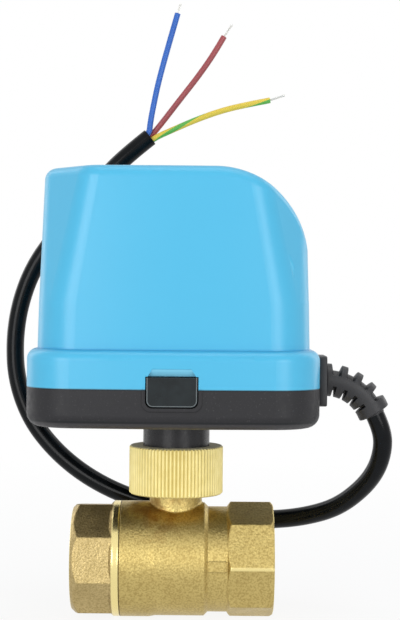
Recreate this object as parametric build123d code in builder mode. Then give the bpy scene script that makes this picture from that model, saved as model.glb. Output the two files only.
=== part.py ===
from build123d import *
import math
import os

# Motorized ball valve, G 3/4, two-way. The origin is the ball's centre, where the pipe axis (X)
# meets the stem axis (Z). +Z runs up the stem. The valve stands open at rest. Millimetres.
os.makedirs("parts", exist_ok=True)

# Pipe body
thread_minor_d = 24.12
port_depth = 14.0
octagon_flats = 33.0
octagon_chamfer = 1.0
left_end_x = -31.9
left_octagon_end_x = -19.3
joint_face_x = -16.9
barrel_step_x = -5.8
barrel_end_x = 8.9
neck_end_x = 16.0
right_octagon_x = 17.2
right_end_x = 30.3
barrel_r = 17.8
barrel_step_r = 17.45
barrel_step_run = 2.2
neck_r = 16.2
left_octagon_turn = 6.5
chamber_r = 13.7
chamber_end_x = 11.4
sleeve_end_x = -11.6
passage_r = 8.5

# Ball, seats and stem
ball_r = 13.0
ball_bore_r = 8.0
ball_flat_z = 11.7
ball_slot_floor_z = 9.4
slot_width = 5.2
seat_r = 12.9
seat_inner_x = 7.0
seat_face_gap = 0.05
stem_r = 4.5
stem_bore_r = 4.55
stem_flange_r = 5.7
stem_flange_z = 11.9
washer_z = 13.5
washer_top_z = 14.5
stem_flats_z = 28.4
stem_top_z = 34.0
stem_flats = 6.0
o_ring_levels = (17.6, 23.6)
o_ring_section_r = 0.55

# Neck boss, union nut and the ring that holds the nut
boss_r = 8.15
boss_foot_r = 0.7
collar_r = 12.2
collar_z = 21.3
boss_top_z = 28.2
nut_r = 14.6
nut_low_z = 20.5
nut_top_z = 35.4
nut_bore_r = 12.26
nut_lip_z = 30.9
nut_lip_r = 10.43
nut_chamfer = 0.45
ridge_count = 77
ridge_depth = 0.42
ring_z = 29.45
ring_thickness = 1.3
ring_r = 11.9
ring_groove_r = 9.3
ring_gap = 2.4

# Actuator casing: base tray and lift-off cover
case_x = -0.85
case_length = 88.5
case_depth = 62.0
case_bow = 2.2
case_corner_r = 15.0
base_low_z = 42.6
split_z = 54.4
skirt_top_z = 66.0
base_edge_r = 4.0
base_wall = 3.4
base_floor_z = 46.2
lip_inset = 2.35
lip_top_z = 56.2
spigot_r = 10.35
spigot_bore_r = 7.05
cover_wall = 2.2
cover_step = 3.0
skirt_edge_r = 3.2
crown_top_z = 120.75
crown_corner_r = 10.0
crown_blend_r = 9.0
crown_draft = 1.2
crown_top_corner_r = 3.5
crown_arc_r = 28.6
crown_arc_draft = 0.45
facet_low_z = 80.0
facet_foot = 7.3
facet_foot_blend_r = 12.3
facet_inset = 0.6
facet_width_x = 14.6
facet_width_y = 16.0
slot_corner_r = 1.5

# Latches
latch_x = -1.0
latch_width = 15.1
latch_low_z = 49.3
latch_top_z = 58.1
latch_thickness = 1.9
latch_corner_r = 2.0
latch_gap = 0.25
latch_proud = 0.12
frame_width = 1.3
frame_height = 0.3
ramp_top_z = 60.7
ramp_depth = 1.9

# Drive shaft, limit cam and gear frame
shaft_r = 7.0
shaft_low_z = 28.9
shaft_flange_z = 46.35
shaft_flange_r = 8.6
shaft_square_z = 47.4
shaft_square = 8.0
gear_square = 5.6
fit_gap = 0.05
cam_z = 47.6
cam_thickness = 4.0
cam_r = 9.0
cam_lobe_r = 11.2
cam_lobe_width = 8.0
lower_plate_z = 54.6
plate_thickness = 1.2
upper_plate_z = 68.8
gear_hub_z = 56.0
plate_low_x = -23.5
plate_high_x = 36.0
plate_half_y = 22.8
plate_corner_r = 6.0
plate_post_x = (-19.5, 31.5)
plate_post_y = 18.6
post_r = 3.3
pillar_r = 2.5

# Gear train
gear_module = 0.9
pressure_angle = 20.0
addendum = 0.8
dedendum = 1.15
backlash = 0.16
output_teeth = 36
idler_wheel_teeth = 30
pinion_teeth = 12
idler_centre = (gear_module * (output_teeth + pinion_teeth) / 2, 0)
motor_pinion_bearing = 130.0
low_mesh_z = 57.2
low_mesh_width = 4.6
high_mesh_z = 63.2
high_mesh_width = 3.6
idler_axle_r = 1.5
journal_r = 4.0
top_journal_r = 2.75

# Gear motor
motor_x = 11.0
motor_r = 24.5
gearhead_z = 70.0
gearhead_height = 7.0
can_height = 15.0
motor_screw_places = ((11.0, -19.5), (-5.5, -10.0), (28.5, 11.5))
screw_r = 1.5
screw_head_r = 2.75
screw_head_height = 2.0
screw_tip_z = 48.5

# Limit switches
switch_length = 20.0
switch_depth = 10.0
switch_height = 6.4
switch_front = 14.0
button_tip = 11.7
button_offset = 4.4
button_z = 48.3
button_height = 2.6
button_width = 2.6
button_seat = 1.2
button_pocket = 2.2

# Control board
board_x = -35.0
board_thickness = 1.6
board_low_z = 47.2
board_top_z = 98.0
board_y = (-14.0, 20.0)
board_gap = 0.05
rail_depth = 5.2
rail_width = 5.0
relay_y = 4.0
relay_z = 85.0
relay_width = 15.5
relay_height = 19.0
relay_depth = 15.0
terminal_y = 3.0
terminal_z = 62.0
terminal_pitch = 5.0
terminal_height = 10.0
terminal_depth = 8.4
terminal_bevel = 1.6
terminal_hole_r = 1.7
terminal_hole_depth = 2.5

# Strain relief and cable
cable_r = 3.0
relief_x = 43.5
relief_face_x = 46.4
relief_z = 56.2
relief_plate = 16.0
relief_neck = 8.0
relief_bend_r = 16.5
relief_turn = 64.0
relief_tail = 1.5
rib_r = 5.1
sleeve_r = 3.4
spine_half = 2.0
rib_pitch = 4.2
first_slot = 2.9
slot_count = 4
slot_outside = 2.2
slot_inside = 0.9
exit_run = 4.6
core_r = 1.0
sheath_bore_r = 2.45
sheath_bore_depth = 2.1
tip_r = 0.27


# Distance of the bowed front or rear from the stem's plane at an X, given its middle's distance
def bowed(middle, x):
    return middle - case_bow * (2 * (x - case_x) / case_length) ** 2


# Casing outline in plan, inside the outermost one by an inset: bowed front and rear, rounded corners
def case_outline(inset):
    left = case_x - case_length / 2 + inset
    right = case_x + case_length / 2 - inset
    middle = case_depth / 2 - inset
    corner = bowed(middle, right)
    with BuildLine() as outline:
        Line((left, -corner), (left, corner))
        ThreePointArc((left, corner), (case_x, middle), (right, corner))
        Line((right, corner), (right, -corner))
        ThreePointArc((right, -corner), (case_x, -middle), (left, -corner))
    make_face(outline.edges())
    fillet(vertices(), case_corner_r - inset)


# Latch tongue seen from the front, its lower corners rounded, grown all round and cut at a height
def latch_outline(grow, top_z):
    low_z = latch_low_z - grow
    with Locations((latch_x, (low_z + top_z) / 2)):
        Rectangle(latch_width + 2 * grow, top_z - low_z)
    fillet(vertices().group_by(Axis.Y)[0], latch_corner_r + grow / 2)


# Radial distance from the pipe axis of an octagon's corners
octagon_corner_r = octagon_flats / 2 / math.cos(math.radians(22.5))

# Where the gear frame stands on the tray
post_places = [(x, y) for x in plate_post_x for y in (-plate_post_y, plate_post_y)]


# Edge where the round stem boss runs into the barrel
def is_boss_foot(edge):
    middle = edge @ 0.5
    on_boss = abs(math.hypot(middle.X, middle.Y) - boss_r) < 0.01
    return on_boss and barrel_step_r - 3 < middle.Z < barrel_r + 0.1


# VALVE BODY: right-hand octagon, neck, barrel and the stem boss, forged in one piece
with BuildPart() as valve_body:
    with BuildSketch(Plane.YZ.offset(neck_end_x)):
        RegularPolygon(octagon_corner_r, 8, rotation=0)
    extrude(amount=right_end_x - neck_end_x)
    with BuildSketch(Plane.XZ):
        with BuildLine():
            Polyline(
                (neck_end_x, 0),
                (neck_end_x, neck_r),
                (right_octagon_x, octagon_corner_r + 0.1),
                (right_end_x - octagon_chamfer, octagon_corner_r + 0.1),
                (right_end_x, octagon_corner_r - octagon_chamfer),
                (right_end_x, 0),
                close=True,
            )
        make_face()
    revolve(axis=Axis.X, mode=Mode.INTERSECT)
    with BuildSketch(Plane.XZ):
        with BuildLine():
            Polyline(
                (joint_face_x, 0),
                (joint_face_x, barrel_step_r),
                (barrel_end_x, barrel_step_r),
                (barrel_end_x + barrel_step_r - neck_r, neck_r),
                (neck_end_x + 0.2, neck_r),
                (neck_end_x + 0.2, 0),
                close=True,
            )
        make_face()
    revolve(axis=Axis.X)
    # witness pad on the front of the neck
    with BuildSketch(Plane.XZ.offset(neck_r - 2)):
        with Locations(((barrel_end_x + neck_end_x + 1) / 2, 0.2)):
            Rectangle(neck_end_x - barrel_end_x - 1.6, 3.3)
    extrude(amount=2.25)
    # stem boss, blended into the barrel, with the threaded collar on top
    with BuildSketch(Plane.XY.offset(barrel_r - 6)):
        Circle(boss_r)
    extrude(amount=boss_top_z - barrel_r + 6)
    fillet(valve_body.edges().filter_by(is_boss_foot), boss_foot_r)
    # thicker band at the joint with the end connector
    with BuildSketch(Plane.XZ):
        with BuildLine():
            Polyline(
                (joint_face_x, barrel_step_r - 1),
                (joint_face_x, barrel_r),
                (barrel_step_x - barrel_step_run, barrel_r),
                (barrel_step_x, barrel_step_r - 0.05),
                (barrel_step_x, barrel_step_r - 1),
                close=True,
            )
        make_face()
    revolve(axis=Axis.X)
    with BuildSketch(Plane.XY.offset(collar_z)):
        Circle(collar_r)
    extrude(amount=boss_top_z - collar_z)
    # ball chamber, passage and the right-hand port
    with BuildSketch(Plane.XZ):
        with BuildLine():
            Polyline(
                (joint_face_x - 1, 0),
                (joint_face_x - 1, chamber_r),
                (chamber_end_x, chamber_r),
                (chamber_end_x, passage_r),
                (right_end_x - port_depth, passage_r),
                (right_end_x - port_depth, thread_minor_d / 2),
                (right_end_x - 1.3, thread_minor_d / 2),
                (right_end_x, thread_minor_d / 2 + 1.3),
                (right_end_x + 1, thread_minor_d / 2 + 1.3),
                (right_end_x + 1, 0),
                close=True,
            )
        make_face()
    revolve(axis=Axis.X, mode=Mode.SUBTRACT)
    # stem bore, wider below for the stem's flange and washer
    with BuildSketch(Plane.XY):
        Circle(stem_bore_r)
    extrude(amount=boss_top_z + 1, mode=Mode.SUBTRACT)
    with BuildSketch(Plane.XY):
        Circle(stem_flange_r + 0.15)
    extrude(amount=washer_top_z, mode=Mode.SUBTRACT)
valve_body.part.label = "valve_body"
export_step(valve_body.part, "parts/valve_body.step")

# END CONNECTOR: left-hand octagon with a round collar and a sleeve screwed into the body
with BuildPart() as end_connector:
    with BuildSketch(Plane.YZ.offset(left_end_x)):
        RegularPolygon(octagon_corner_r, 8, rotation=22.5 - left_octagon_turn)
    extrude(amount=left_octagon_end_x - left_end_x)
    with BuildSketch(Plane.XZ):
        with BuildLine():
            Polyline(
                (left_end_x, 0),
                (left_end_x, octagon_corner_r - 2.2),
                (left_end_x + 2.4, octagon_corner_r + 0.1),
                (left_octagon_end_x, octagon_corner_r + 0.1),
                (left_octagon_end_x, 0),
                close=True,
            )
        make_face()
    revolve(axis=Axis.X, mode=Mode.INTERSECT)
    with BuildSketch(Plane.XZ):
        with BuildLine():
            Polyline(
                (left_octagon_end_x - 0.6, 0),
                (left_octagon_end_x - 0.6, barrel_r - 0.9),
                (left_octagon_end_x + 0.3, barrel_r),
                (joint_face_x - 0.25, barrel_r),
                (joint_face_x, barrel_r - 0.25),
                (joint_face_x, chamber_r - 0.05),
                (sleeve_end_x, chamber_r - 0.05),
                (sleeve_end_x, 0),
                close=True,
            )
        make_face()
    revolve(axis=Axis.X)
    with BuildSketch(Plane.XZ):
        with BuildLine():
            Polyline(
                (left_end_x - 1, 0),
                (left_end_x - 1, thread_minor_d / 2 + 1.3),
                (left_end_x, thread_minor_d / 2 + 1.3),
                (left_end_x + 1.3, thread_minor_d / 2),
                (left_end_x + port_depth, thread_minor_d / 2),
                (left_end_x + port_depth, passage_r),
                (sleeve_end_x + 1, passage_r),
                (sleeve_end_x + 1, 0),
                close=True,
            )
        make_face()
    revolve(axis=Axis.X, mode=Mode.SUBTRACT)
end_connector.part.label = "end_connector"
export_step(end_connector.part, "parts/end_connector.step")

# SEATS: two rings hollowed to the ball's radius, the right one mirrored
for name, back_x in (("seat_left", sleeve_end_x), ("seat_right", -chamber_end_x)):
    with BuildPart() as seat:
        with BuildSketch(Plane.XZ):
            with BuildLine():
                Polyline(
                    (-seat_inner_x, ball_bore_r + 1.2),
                    (-seat_inner_x, seat_r),
                    (back_x, seat_r),
                    (back_x, ball_bore_r + 0.5),
                    (back_x + 2.6, ball_bore_r + 0.5),
                    close=True,
                )
            make_face()
        revolve(axis=Axis.X)
        Sphere(ball_r + seat_face_gap, mode=Mode.SUBTRACT)
        if name == "seat_right":
            mirror(about=Plane.YZ, mode=Mode.REPLACE)
    seat.part.label = name
    export_step(seat.part, f"parts/{name}.step")

# BALL: bored through, with a flat and a slot on top for the stem's tang
with BuildPart() as ball:
    Sphere(ball_r)
    with BuildSketch(Plane.YZ):
        Circle(ball_bore_r)
    extrude(amount=ball_r + 1, both=True, mode=Mode.SUBTRACT)
    with BuildSketch(Plane.XY.offset(ball_flat_z)):
        Circle(ball_r)
    extrude(amount=ball_r, mode=Mode.SUBTRACT)
    with BuildSketch(Plane.XY.offset(ball_slot_floor_z)):
        Rectangle(slot_width, 2 * ball_r)
    extrude(amount=ball_r, mode=Mode.SUBTRACT)
ball.part.label = "ball"
export_step(ball.part, "parts/ball.step")

# STEM: tang, blow-out flange, two seal grooves and a flatted top
with BuildPart() as stem:
    with BuildSketch(Plane.XZ):
        with BuildLine():
            Polyline(
                (0, ball_slot_floor_z + 0.2),
                (stem_r, ball_slot_floor_z + 0.2),
                (stem_r, stem_flange_z),
                (stem_flange_r, stem_flange_z),
                (stem_flange_r, washer_z),
                (stem_r, washer_z),
                (stem_r, stem_top_z - 0.6),
                (stem_r - 0.6, stem_top_z),
                (0, stem_top_z),
                close=True,
            )
        make_face()
        with Locations([(stem_r, level) for level in o_ring_levels]):
            Rectangle(4 * o_ring_section_r, 2.4 * o_ring_section_r, mode=Mode.SUBTRACT)
    revolve(axis=Axis.Z)
    # tang that sits in the ball's slot
    with BuildSketch(Plane.XY.offset(ball_slot_floor_z)):
        with Locations((slot_width, 0), (-slot_width, 0)):
            Rectangle(slot_width + 0.4, 4 * stem_r)
    extrude(amount=stem_flange_z - ball_slot_floor_z, mode=Mode.SUBTRACT)
    # two flats at the top
    with BuildSketch(Plane.XY.offset(stem_flats_z)):
        with Locations((stem_flats, 0), (-stem_flats, 0)):
            Rectangle(stem_flats, 4 * stem_r)
    extrude(amount=stem_top_z, mode=Mode.SUBTRACT)
stem.part.label = "stem"
export_step(stem.part, "parts/stem.step")

# STEM O-RINGS: two seals in the stem's grooves
with BuildPart() as stem_o_rings:
    with BuildSketch(Plane.XZ):
        with Locations([(stem_bore_r - 0.05 - o_ring_section_r, level) for level in o_ring_levels]):
            Circle(o_ring_section_r)
    revolve(axis=Axis.Z)
stem_o_rings.part.label = "stem_o_rings"
export_step(stem_o_rings.part, "parts/stem_o_rings.step")

# STEM WASHER: low-friction ring between the stem's flange and the body
with BuildPart() as stem_washer:
    with BuildSketch(Plane.XY.offset(washer_z + 0.02)):
        Circle(stem_flange_r)
        Circle(stem_bore_r, mode=Mode.SUBTRACT)
    extrude(amount=washer_top_z - washer_z - 0.04)
stem_washer.part.label = "stem_washer"
export_step(stem_washer.part, "parts/stem_washer.step")

# UNION NUT: straight-knurled ring nut with an inward lip at the top
with BuildPart() as union_nut:
    with BuildSketch(Plane.XY.offset(nut_low_z)):
        Circle(nut_r)
        with PolarLocations(nut_r, ridge_count):
            RegularPolygon(ridge_depth, 4, mode=Mode.SUBTRACT)
    extrude(amount=nut_top_z - nut_low_z)
    with BuildSketch(Plane.XZ):
        with BuildLine():
            Polyline(
                (nut_bore_r, nut_low_z),
                (nut_r - nut_chamfer, nut_low_z),
                (nut_r, nut_low_z + nut_chamfer),
                (nut_r, nut_top_z - nut_chamfer),
                (nut_r - nut_chamfer, nut_top_z),
                (nut_lip_r, nut_top_z),
                (nut_lip_r, nut_lip_z),
                (nut_bore_r, nut_lip_z),
                close=True,
            )
        make_face()
    revolve(axis=Axis.Z, mode=Mode.INTERSECT)
union_nut.part.label = "union_nut"
export_step(union_nut.part, "parts/union_nut.step")

# NUT RETAINING RING: split ring in the spigot's groove, under the nut's lip
with BuildPart() as nut_retaining_ring:
    with BuildSketch(Plane.XY.offset(ring_z)):
        Circle(ring_r)
        Circle(ring_groove_r + fit_gap, mode=Mode.SUBTRACT)
        with Locations((0, ring_r)):
            Rectangle(ring_gap, ring_r, mode=Mode.SUBTRACT)
    extrude(amount=ring_thickness)
nut_retaining_ring.part.label = "nut_retaining_ring"
export_step(nut_retaining_ring.part, "parts/nut_retaining_ring.step")

# BASE HOUSING: moulded tray with the spigot, gear posts, latch pockets and the gland slot
with BuildPart() as base_housing:
    with BuildSketch(Plane.XY.offset(base_low_z)):
        case_outline(0)
    extrude(amount=split_z - base_low_z)
    fillet(base_housing.faces().sort_by(Axis.Z)[0].edges(), base_edge_r)
    # raised frame round each latch pocket, front and rear
    for side in (-1, 1):
        with BuildSketch(Plane.XZ.offset(-side * (case_depth / 2 - 1))):
            latch_outline(frame_width, split_z)
        extrude(amount=-side * (1 + frame_height))
    # inner lip that the cover slips over
    with BuildSketch(Plane.XY.offset(split_z - 1)):
        case_outline(lip_inset)
    extrude(amount=lip_top_z - split_z + 1)
    with BuildSketch(Plane.XY.offset(base_floor_z)):
        case_outline(base_wall)
    extrude(amount=lip_top_z, mode=Mode.SUBTRACT)
    # spigot that drops into the union nut
    with BuildSketch(Plane.XY.offset(boss_top_z)):
        Circle(spigot_r)
    extrude(amount=base_floor_z - boss_top_z)
    with BuildSketch(Plane.XY.offset(boss_top_z - 1)):
        Circle(spigot_bore_r)
    extrude(amount=base_floor_z, mode=Mode.SUBTRACT)
    with BuildSketch(Plane.XY.offset(ring_z - 0.05)):
        Circle(spigot_r + 1)
        Circle(ring_groove_r, mode=Mode.SUBTRACT)
    extrude(amount=ring_thickness + 0.1, mode=Mode.SUBTRACT)
    # four posts under the gear frame
    with BuildSketch(Plane.XY.offset(base_floor_z - 0.5)):
        with Locations(post_places):
            Circle(post_r)
            Circle(screw_r, mode=Mode.SUBTRACT)
    extrude(amount=lower_plate_z - base_floor_z + 0.5)
    # slotted rails that hold the control board upright
    with BuildSketch(Plane.XY.offset(base_floor_z - 0.5)):
        with Locations([(board_x + board_thickness / 2, y) for y in board_y]):
            Rectangle(rail_depth, rail_width)
    extrude(amount=lip_top_z - base_floor_z)
    with BuildSketch(Plane.XY.offset(board_low_z - board_gap)):
        with Locations((board_x + board_thickness / 2, (board_y[0] + board_y[1]) / 2)):
            Rectangle(board_thickness + 2 * board_gap, board_y[1] - board_y[0] + 2 * board_gap)
    extrude(amount=lip_top_z, mode=Mode.SUBTRACT)
    # latch pockets, with the wall kept whole behind them
    for side in (-1, 1):
        with BuildSketch(Plane.XZ.offset(-side * (case_depth / 2 - latch_thickness - latch_gap))):
            latch_outline(latch_gap, lip_top_z + 1)
        extrude(amount=-side * 4, mode=Mode.SUBTRACT)
    # slot for the strain relief's neck
    with BuildSketch(Plane.YZ.offset(relief_x - base_wall - 1)):
        with Locations((0, relief_z + relief_neck / 2)):
            RectangleRounded(relief_neck + 2 * fit_gap, 2 * relief_neck + 2 * fit_gap, slot_corner_r)
    extrude(amount=base_wall + 3, mode=Mode.SUBTRACT)
base_housing.part.label = "base_housing"
export_step(base_housing.part, "parts/base_housing.step")


# Plan outline of the cover's crown: bowed, rear corners rounded, front corners cut by facets
def crown_outline(inset, draft, facet_x, facet_y, blend_r):
    left = case_x - case_length / 2 + cover_step + draft + inset
    right = case_x + case_length / 2 - cover_step - draft - inset
    middle = case_depth / 2 - cover_step - draft - inset
    corner = bowed(middle, right)
    facet_front = right - facet_x + facet_inset * inset
    facet_side = facet_y - facet_inset * inset - corner
    facet_depth = bowed(middle, facet_front)
    with BuildLine() as outline:
        ThreePointArc((left, corner), (case_x, middle), (right, corner))
        Polyline((right, corner), (right, facet_side), (facet_front, -facet_depth))
        ThreePointArc((facet_front, -facet_depth), (case_x, -middle), (2 * case_x - facet_front, -facet_depth))
        Polyline((2 * case_x - facet_front, -facet_depth), (left, facet_side), (left, corner))
    make_face(outline.edges())
    fillet(vertices().group_by(Axis.Y)[0] + vertices().group_by(Axis.Y)[1], blend_r)
    fillet(vertices().group_by(Axis.Y)[-1], crown_corner_r - inset)


# Solid form of the cover: low skirt, drafted crown with front facets, and the big arc on the right
def cover_form(inset, low_z):
    crown_foot_z = skirt_top_z - cover_step
    top_z = crown_top_z - inset
    arc_r = crown_arc_r - inset
    arc_x = case_x + case_length / 2 - cover_step - crown_arc_draft - crown_arc_r
    with BuildPart() as crown:
        with BuildSketch(Plane.XY.offset(crown_foot_z - inset)):
            crown_outline(inset, 0, facet_foot, facet_foot, facet_foot_blend_r - inset)
        with BuildSketch(Plane.XY.offset(facet_low_z)):
            low_draft = crown_draft * (facet_low_z - crown_foot_z) / (crown_top_z - crown_foot_z)
            crown_outline(inset, low_draft, facet_foot, facet_foot, facet_foot_blend_r - inset)
        with BuildSketch(Plane.XY.offset(crown_top_z + 1)):
            crown_outline(inset, crown_draft, facet_width_x, facet_width_y, crown_blend_r - inset)
        loft(ruled=True)
        with BuildSketch(Plane.XZ):
            with BuildLine():
                Line((-case_length, top_z), (arc_x, top_z))
                CenterArc((arc_x, top_z - arc_r), arc_r, 0, 90)
                Polyline(
                    (arc_x + arc_r, top_z - arc_r),
                    (case_length, top_z - arc_r),
                    (case_length, low_z),
                    (-case_length, low_z),
                    (-case_length, top_z),
                )
            make_face()
        extrude(amount=case_depth, both=True, mode=Mode.INTERSECT)
        top_face = crown.faces().filter_by(Plane.XY).sort_by(Axis.Z)[-1]
        rim = top_face.edges().filter_by(GeomType.LINE, reverse=True)
        fillet(rim, crown_top_corner_r - inset / 2)
    with BuildPart() as form:
        with BuildSketch(Plane.XY.offset(low_z)):
            case_outline(inset)
        extrude(amount=skirt_top_z - inset - low_z)
        fillet(form.faces().sort_by(Axis.Z)[-1].edges(), skirt_edge_r - inset / 2)
        add(crown.part)
    return form.part


# COVER: thin-walled lift-off shell, notched for the latches and slotted for the gland
cover_outside = cover_form(0, split_z)
cover_inside = cover_form(cover_wall, split_z - 1)
with BuildPart() as cover:
    add(cover_outside)
    add(cover_inside, mode=Mode.SUBTRACT)
    # notch over each latch and the finger ramp above it
    for side in (-1, 1):
        with BuildSketch(Plane.XZ.offset(-side * (case_depth / 2 - cover_wall - 1))):
            with Locations((latch_x, split_z)):
                Rectangle(latch_width + 2 * latch_gap, 2 * (latch_top_z + latch_gap - split_z))
        extrude(amount=-side * 6, mode=Mode.SUBTRACT)
        with BuildSketch(Plane.XY.offset(latch_top_z)):
            with Locations((latch_x, side * case_depth / 2)):
                Rectangle(latch_width - 0.6, 2 * ramp_depth)
        with BuildSketch(Plane.XY.offset(ramp_top_z)):
            with Locations((latch_x, side * case_depth / 2)):
                Rectangle(latch_width - 3.8, 0.05)
        loft(ruled=True, mode=Mode.SUBTRACT)
    # slot for the strain relief's neck
    with BuildSketch(Plane.YZ.offset(relief_x - base_wall - 1)):
        with Locations((0, relief_z - relief_neck / 2)):
            RectangleRounded(relief_neck + 2 * fit_gap, 2 * relief_neck + 2 * fit_gap, slot_corner_r)
    extrude(amount=base_wall + 3, mode=Mode.SUBTRACT)
cover.part.label = "cover"
export_step(cover.part, "parts/cover.step")

# LATCHES: smooth tongues moulded apart from the tray, front and rear
for name, side in (("latch_front", -1), ("latch_rear", 1)):
    with BuildPart() as latch:
        with BuildSketch(Plane.XZ.offset(-side * (case_depth / 2 - latch_thickness))):
            latch_outline(0, latch_top_z)
        extrude(amount=-side * (latch_thickness + latch_proud))
        outer_face = latch.faces().filter_by(Plane.XZ).sort_by(Axis.Y)[0 if side < 0 else -1]
        fillet(outer_face.edges(), 0.3)
    latch.part.label = name
    export_step(latch.part, f"parts/{name}.step")

# DRIVE SHAFT: turns in the spigot, its slotted foot over the stem's flats
with BuildPart() as drive_shaft:
    with BuildSketch(Plane.XZ):
        with BuildLine():
            Polyline(
                (0, shaft_low_z),
                (shaft_r, shaft_low_z),
                (shaft_r, shaft_flange_z),
                (shaft_flange_r, shaft_flange_z),
                (shaft_flange_r, shaft_square_z),
                (0, shaft_square_z),
                close=True,
            )
        make_face()
        with BuildLine():
            Polyline(
                (0, cam_z + cam_thickness + 0.6),
                (journal_r, cam_z + cam_thickness + 0.6),
                (journal_r, gear_hub_z - 0.1),
                (0, gear_hub_z - 0.1),
                close=True,
            )
        make_face()
        with BuildLine():
            Polyline(
                (0, low_mesh_z + low_mesh_width + 0.4),
                (top_journal_r, low_mesh_z + low_mesh_width + 0.4),
                (top_journal_r, upper_plate_z + plate_thickness - 0.3),
                (0, upper_plate_z + plate_thickness - 0.3),
                close=True,
            )
        make_face()
    revolve(axis=Axis.Z)
    with BuildSketch(Plane.XY.offset(shaft_square_z)):
        Rectangle(shaft_square, shaft_square)
    extrude(amount=cam_z + cam_thickness + 0.6 - shaft_square_z)
    with BuildSketch(Plane.XY.offset(gear_hub_z - 0.1)):
        Rectangle(gear_square, gear_square)
    extrude(amount=low_mesh_z + low_mesh_width + 0.5 - gear_hub_z)
    with BuildSketch(Plane.XY.offset(shaft_low_z)):
        Circle(stem_r + 0.1)
        Rectangle(stem_flats + 0.1, 4 * stem_r, mode=Mode.INTERSECT)
    extrude(amount=stem_top_z + 0.4 - shaft_low_z, mode=Mode.SUBTRACT)
drive_shaft.part.label = "drive_shaft"
export_step(drive_shaft.part, "parts/drive_shaft.step")

# LIMIT CAM: disc with one lobe, squared onto the drive shaft
with BuildPart() as limit_cam:
    with BuildSketch(Plane.XY.offset(cam_z)):
        Circle(cam_r)
        with Locations((cam_lobe_r / 2, 0)):
            RectangleRounded(cam_lobe_r, cam_lobe_width, 1.6)
        Rectangle(shaft_square + 0.1, shaft_square + 0.1, mode=Mode.SUBTRACT)
    extrude(amount=cam_thickness)
limit_cam.part.label = "limit_cam"
export_step(limit_cam.part, "parts/limit_cam.step")


# Half the angle that a tooth fills at a radius, from the involute of the base circle
def tooth_half_angle(teeth, radius):
    pitch_r = gear_module * teeth / 2
    base_r = pitch_r * math.cos(math.radians(pressure_angle))
    at_pitch = math.tan(math.radians(pressure_angle)) - math.radians(pressure_angle)
    roll = math.acos(min(1, base_r / radius))
    at_radius = math.tan(roll) - roll
    return (math.pi / 2 - backlash / gear_module) / teeth + at_pitch - at_radius


# Spur gear outline: root circle and teeth whose flanks are arcs through three involute points
def gear_outline(teeth, first_tooth):
    pitch_r = gear_module * teeth / 2
    base_r = pitch_r * math.cos(math.radians(pressure_angle))
    root_r = pitch_r - dedendum * gear_module
    tip_r = pitch_r + addendum * gear_module
    foot_r = max(base_r, root_r)
    middle_r = (foot_r + tip_r) / 2

    def flank(radius, side):
        angle = side * tooth_half_angle(teeth, radius)
        return (radius * math.cos(angle), radius * math.sin(angle))

    foot_angle = tooth_half_angle(teeth, foot_r)
    root_x = (root_r - 0.3) * math.cos(foot_angle)
    root_y = (root_r - 0.3) * math.sin(foot_angle)
    with BuildSketch(mode=Mode.PRIVATE) as tooth:
        with BuildLine():
            Line((root_x, -root_y), flank(foot_r, -1))
            ThreePointArc(flank(foot_r, -1), flank(middle_r, -1), flank(tip_r, -1))
            Line(flank(tip_r, -1), flank(tip_r, 1))
            ThreePointArc(flank(tip_r, 1), flank(middle_r, 1), flank(foot_r, 1))
            Line(flank(foot_r, 1), (root_x, root_y))
            Line((root_x, root_y), (root_x, -root_y))
        make_face()
    Circle(root_r)
    with PolarLocations(0, teeth, start_angle=first_tooth):
        add(tooth.sketch)


# Centre of the motor's pinion, one mesh away from the idler
mesh_distance = gear_module * (idler_wheel_teeth + pinion_teeth) / 2
motor_pinion_centre = (
    idler_centre[0] + mesh_distance * math.cos(math.radians(motor_pinion_bearing)),
    idler_centre[1] + mesh_distance * math.sin(math.radians(motor_pinion_bearing)),
)

# OUTPUT GEAR: 36 teeth, squared onto the drive shaft, one tooth facing the idler
with BuildPart() as output_gear:
    with BuildSketch(Plane.XY.offset(low_mesh_z)):
        gear_outline(output_teeth, 0)
    extrude(amount=low_mesh_width)
    with BuildSketch(Plane.XY.offset(low_mesh_z + 1.2)):
        Circle(output_teeth * gear_module / 2 - 2.6)
        Circle(7, mode=Mode.SUBTRACT)
    extrude(amount=low_mesh_width, mode=Mode.SUBTRACT)
    with BuildSketch(Plane.XY.offset(gear_hub_z)):
        Circle(6)
    extrude(amount=low_mesh_z - gear_hub_z)
    with BuildSketch(Plane.XY.offset(lower_plate_z)):
        Rectangle(gear_square + 0.1, gear_square + 0.1)
    extrude(amount=2 * low_mesh_width + 2, mode=Mode.SUBTRACT)
output_gear.part.label = "output_gear"
export_step(output_gear.part, "parts/output_gear.step")

# IDLER GEAR: 12-tooth pinion under a 30-tooth wheel, free on its axle
with BuildPart() as idler_gear:
    with BuildSketch(Plane.XY.offset(low_mesh_z)):
        gear_outline(pinion_teeth, 180 / pinion_teeth)
    extrude(amount=high_mesh_z - low_mesh_z)
    with BuildSketch(Plane.XY.offset(high_mesh_z)):
        gear_outline(idler_wheel_teeth, motor_pinion_bearing)
    extrude(amount=high_mesh_width)
    with BuildSketch(Plane.XY.offset(gear_hub_z)):
        Circle(3.6)
    extrude(amount=upper_plate_z - 0.3 - gear_hub_z)
    with BuildSketch(Plane.XY.offset(lower_plate_z)):
        Circle(idler_axle_r + fit_gap)
    extrude(amount=upper_plate_z - lower_plate_z, mode=Mode.SUBTRACT)
idler_gear.part.locate(Location((idler_centre[0], idler_centre[1], 0)))
idler_gear.part.label = "idler_gear"
export_step(idler_gear.part, "parts/idler_gear.step")

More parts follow.
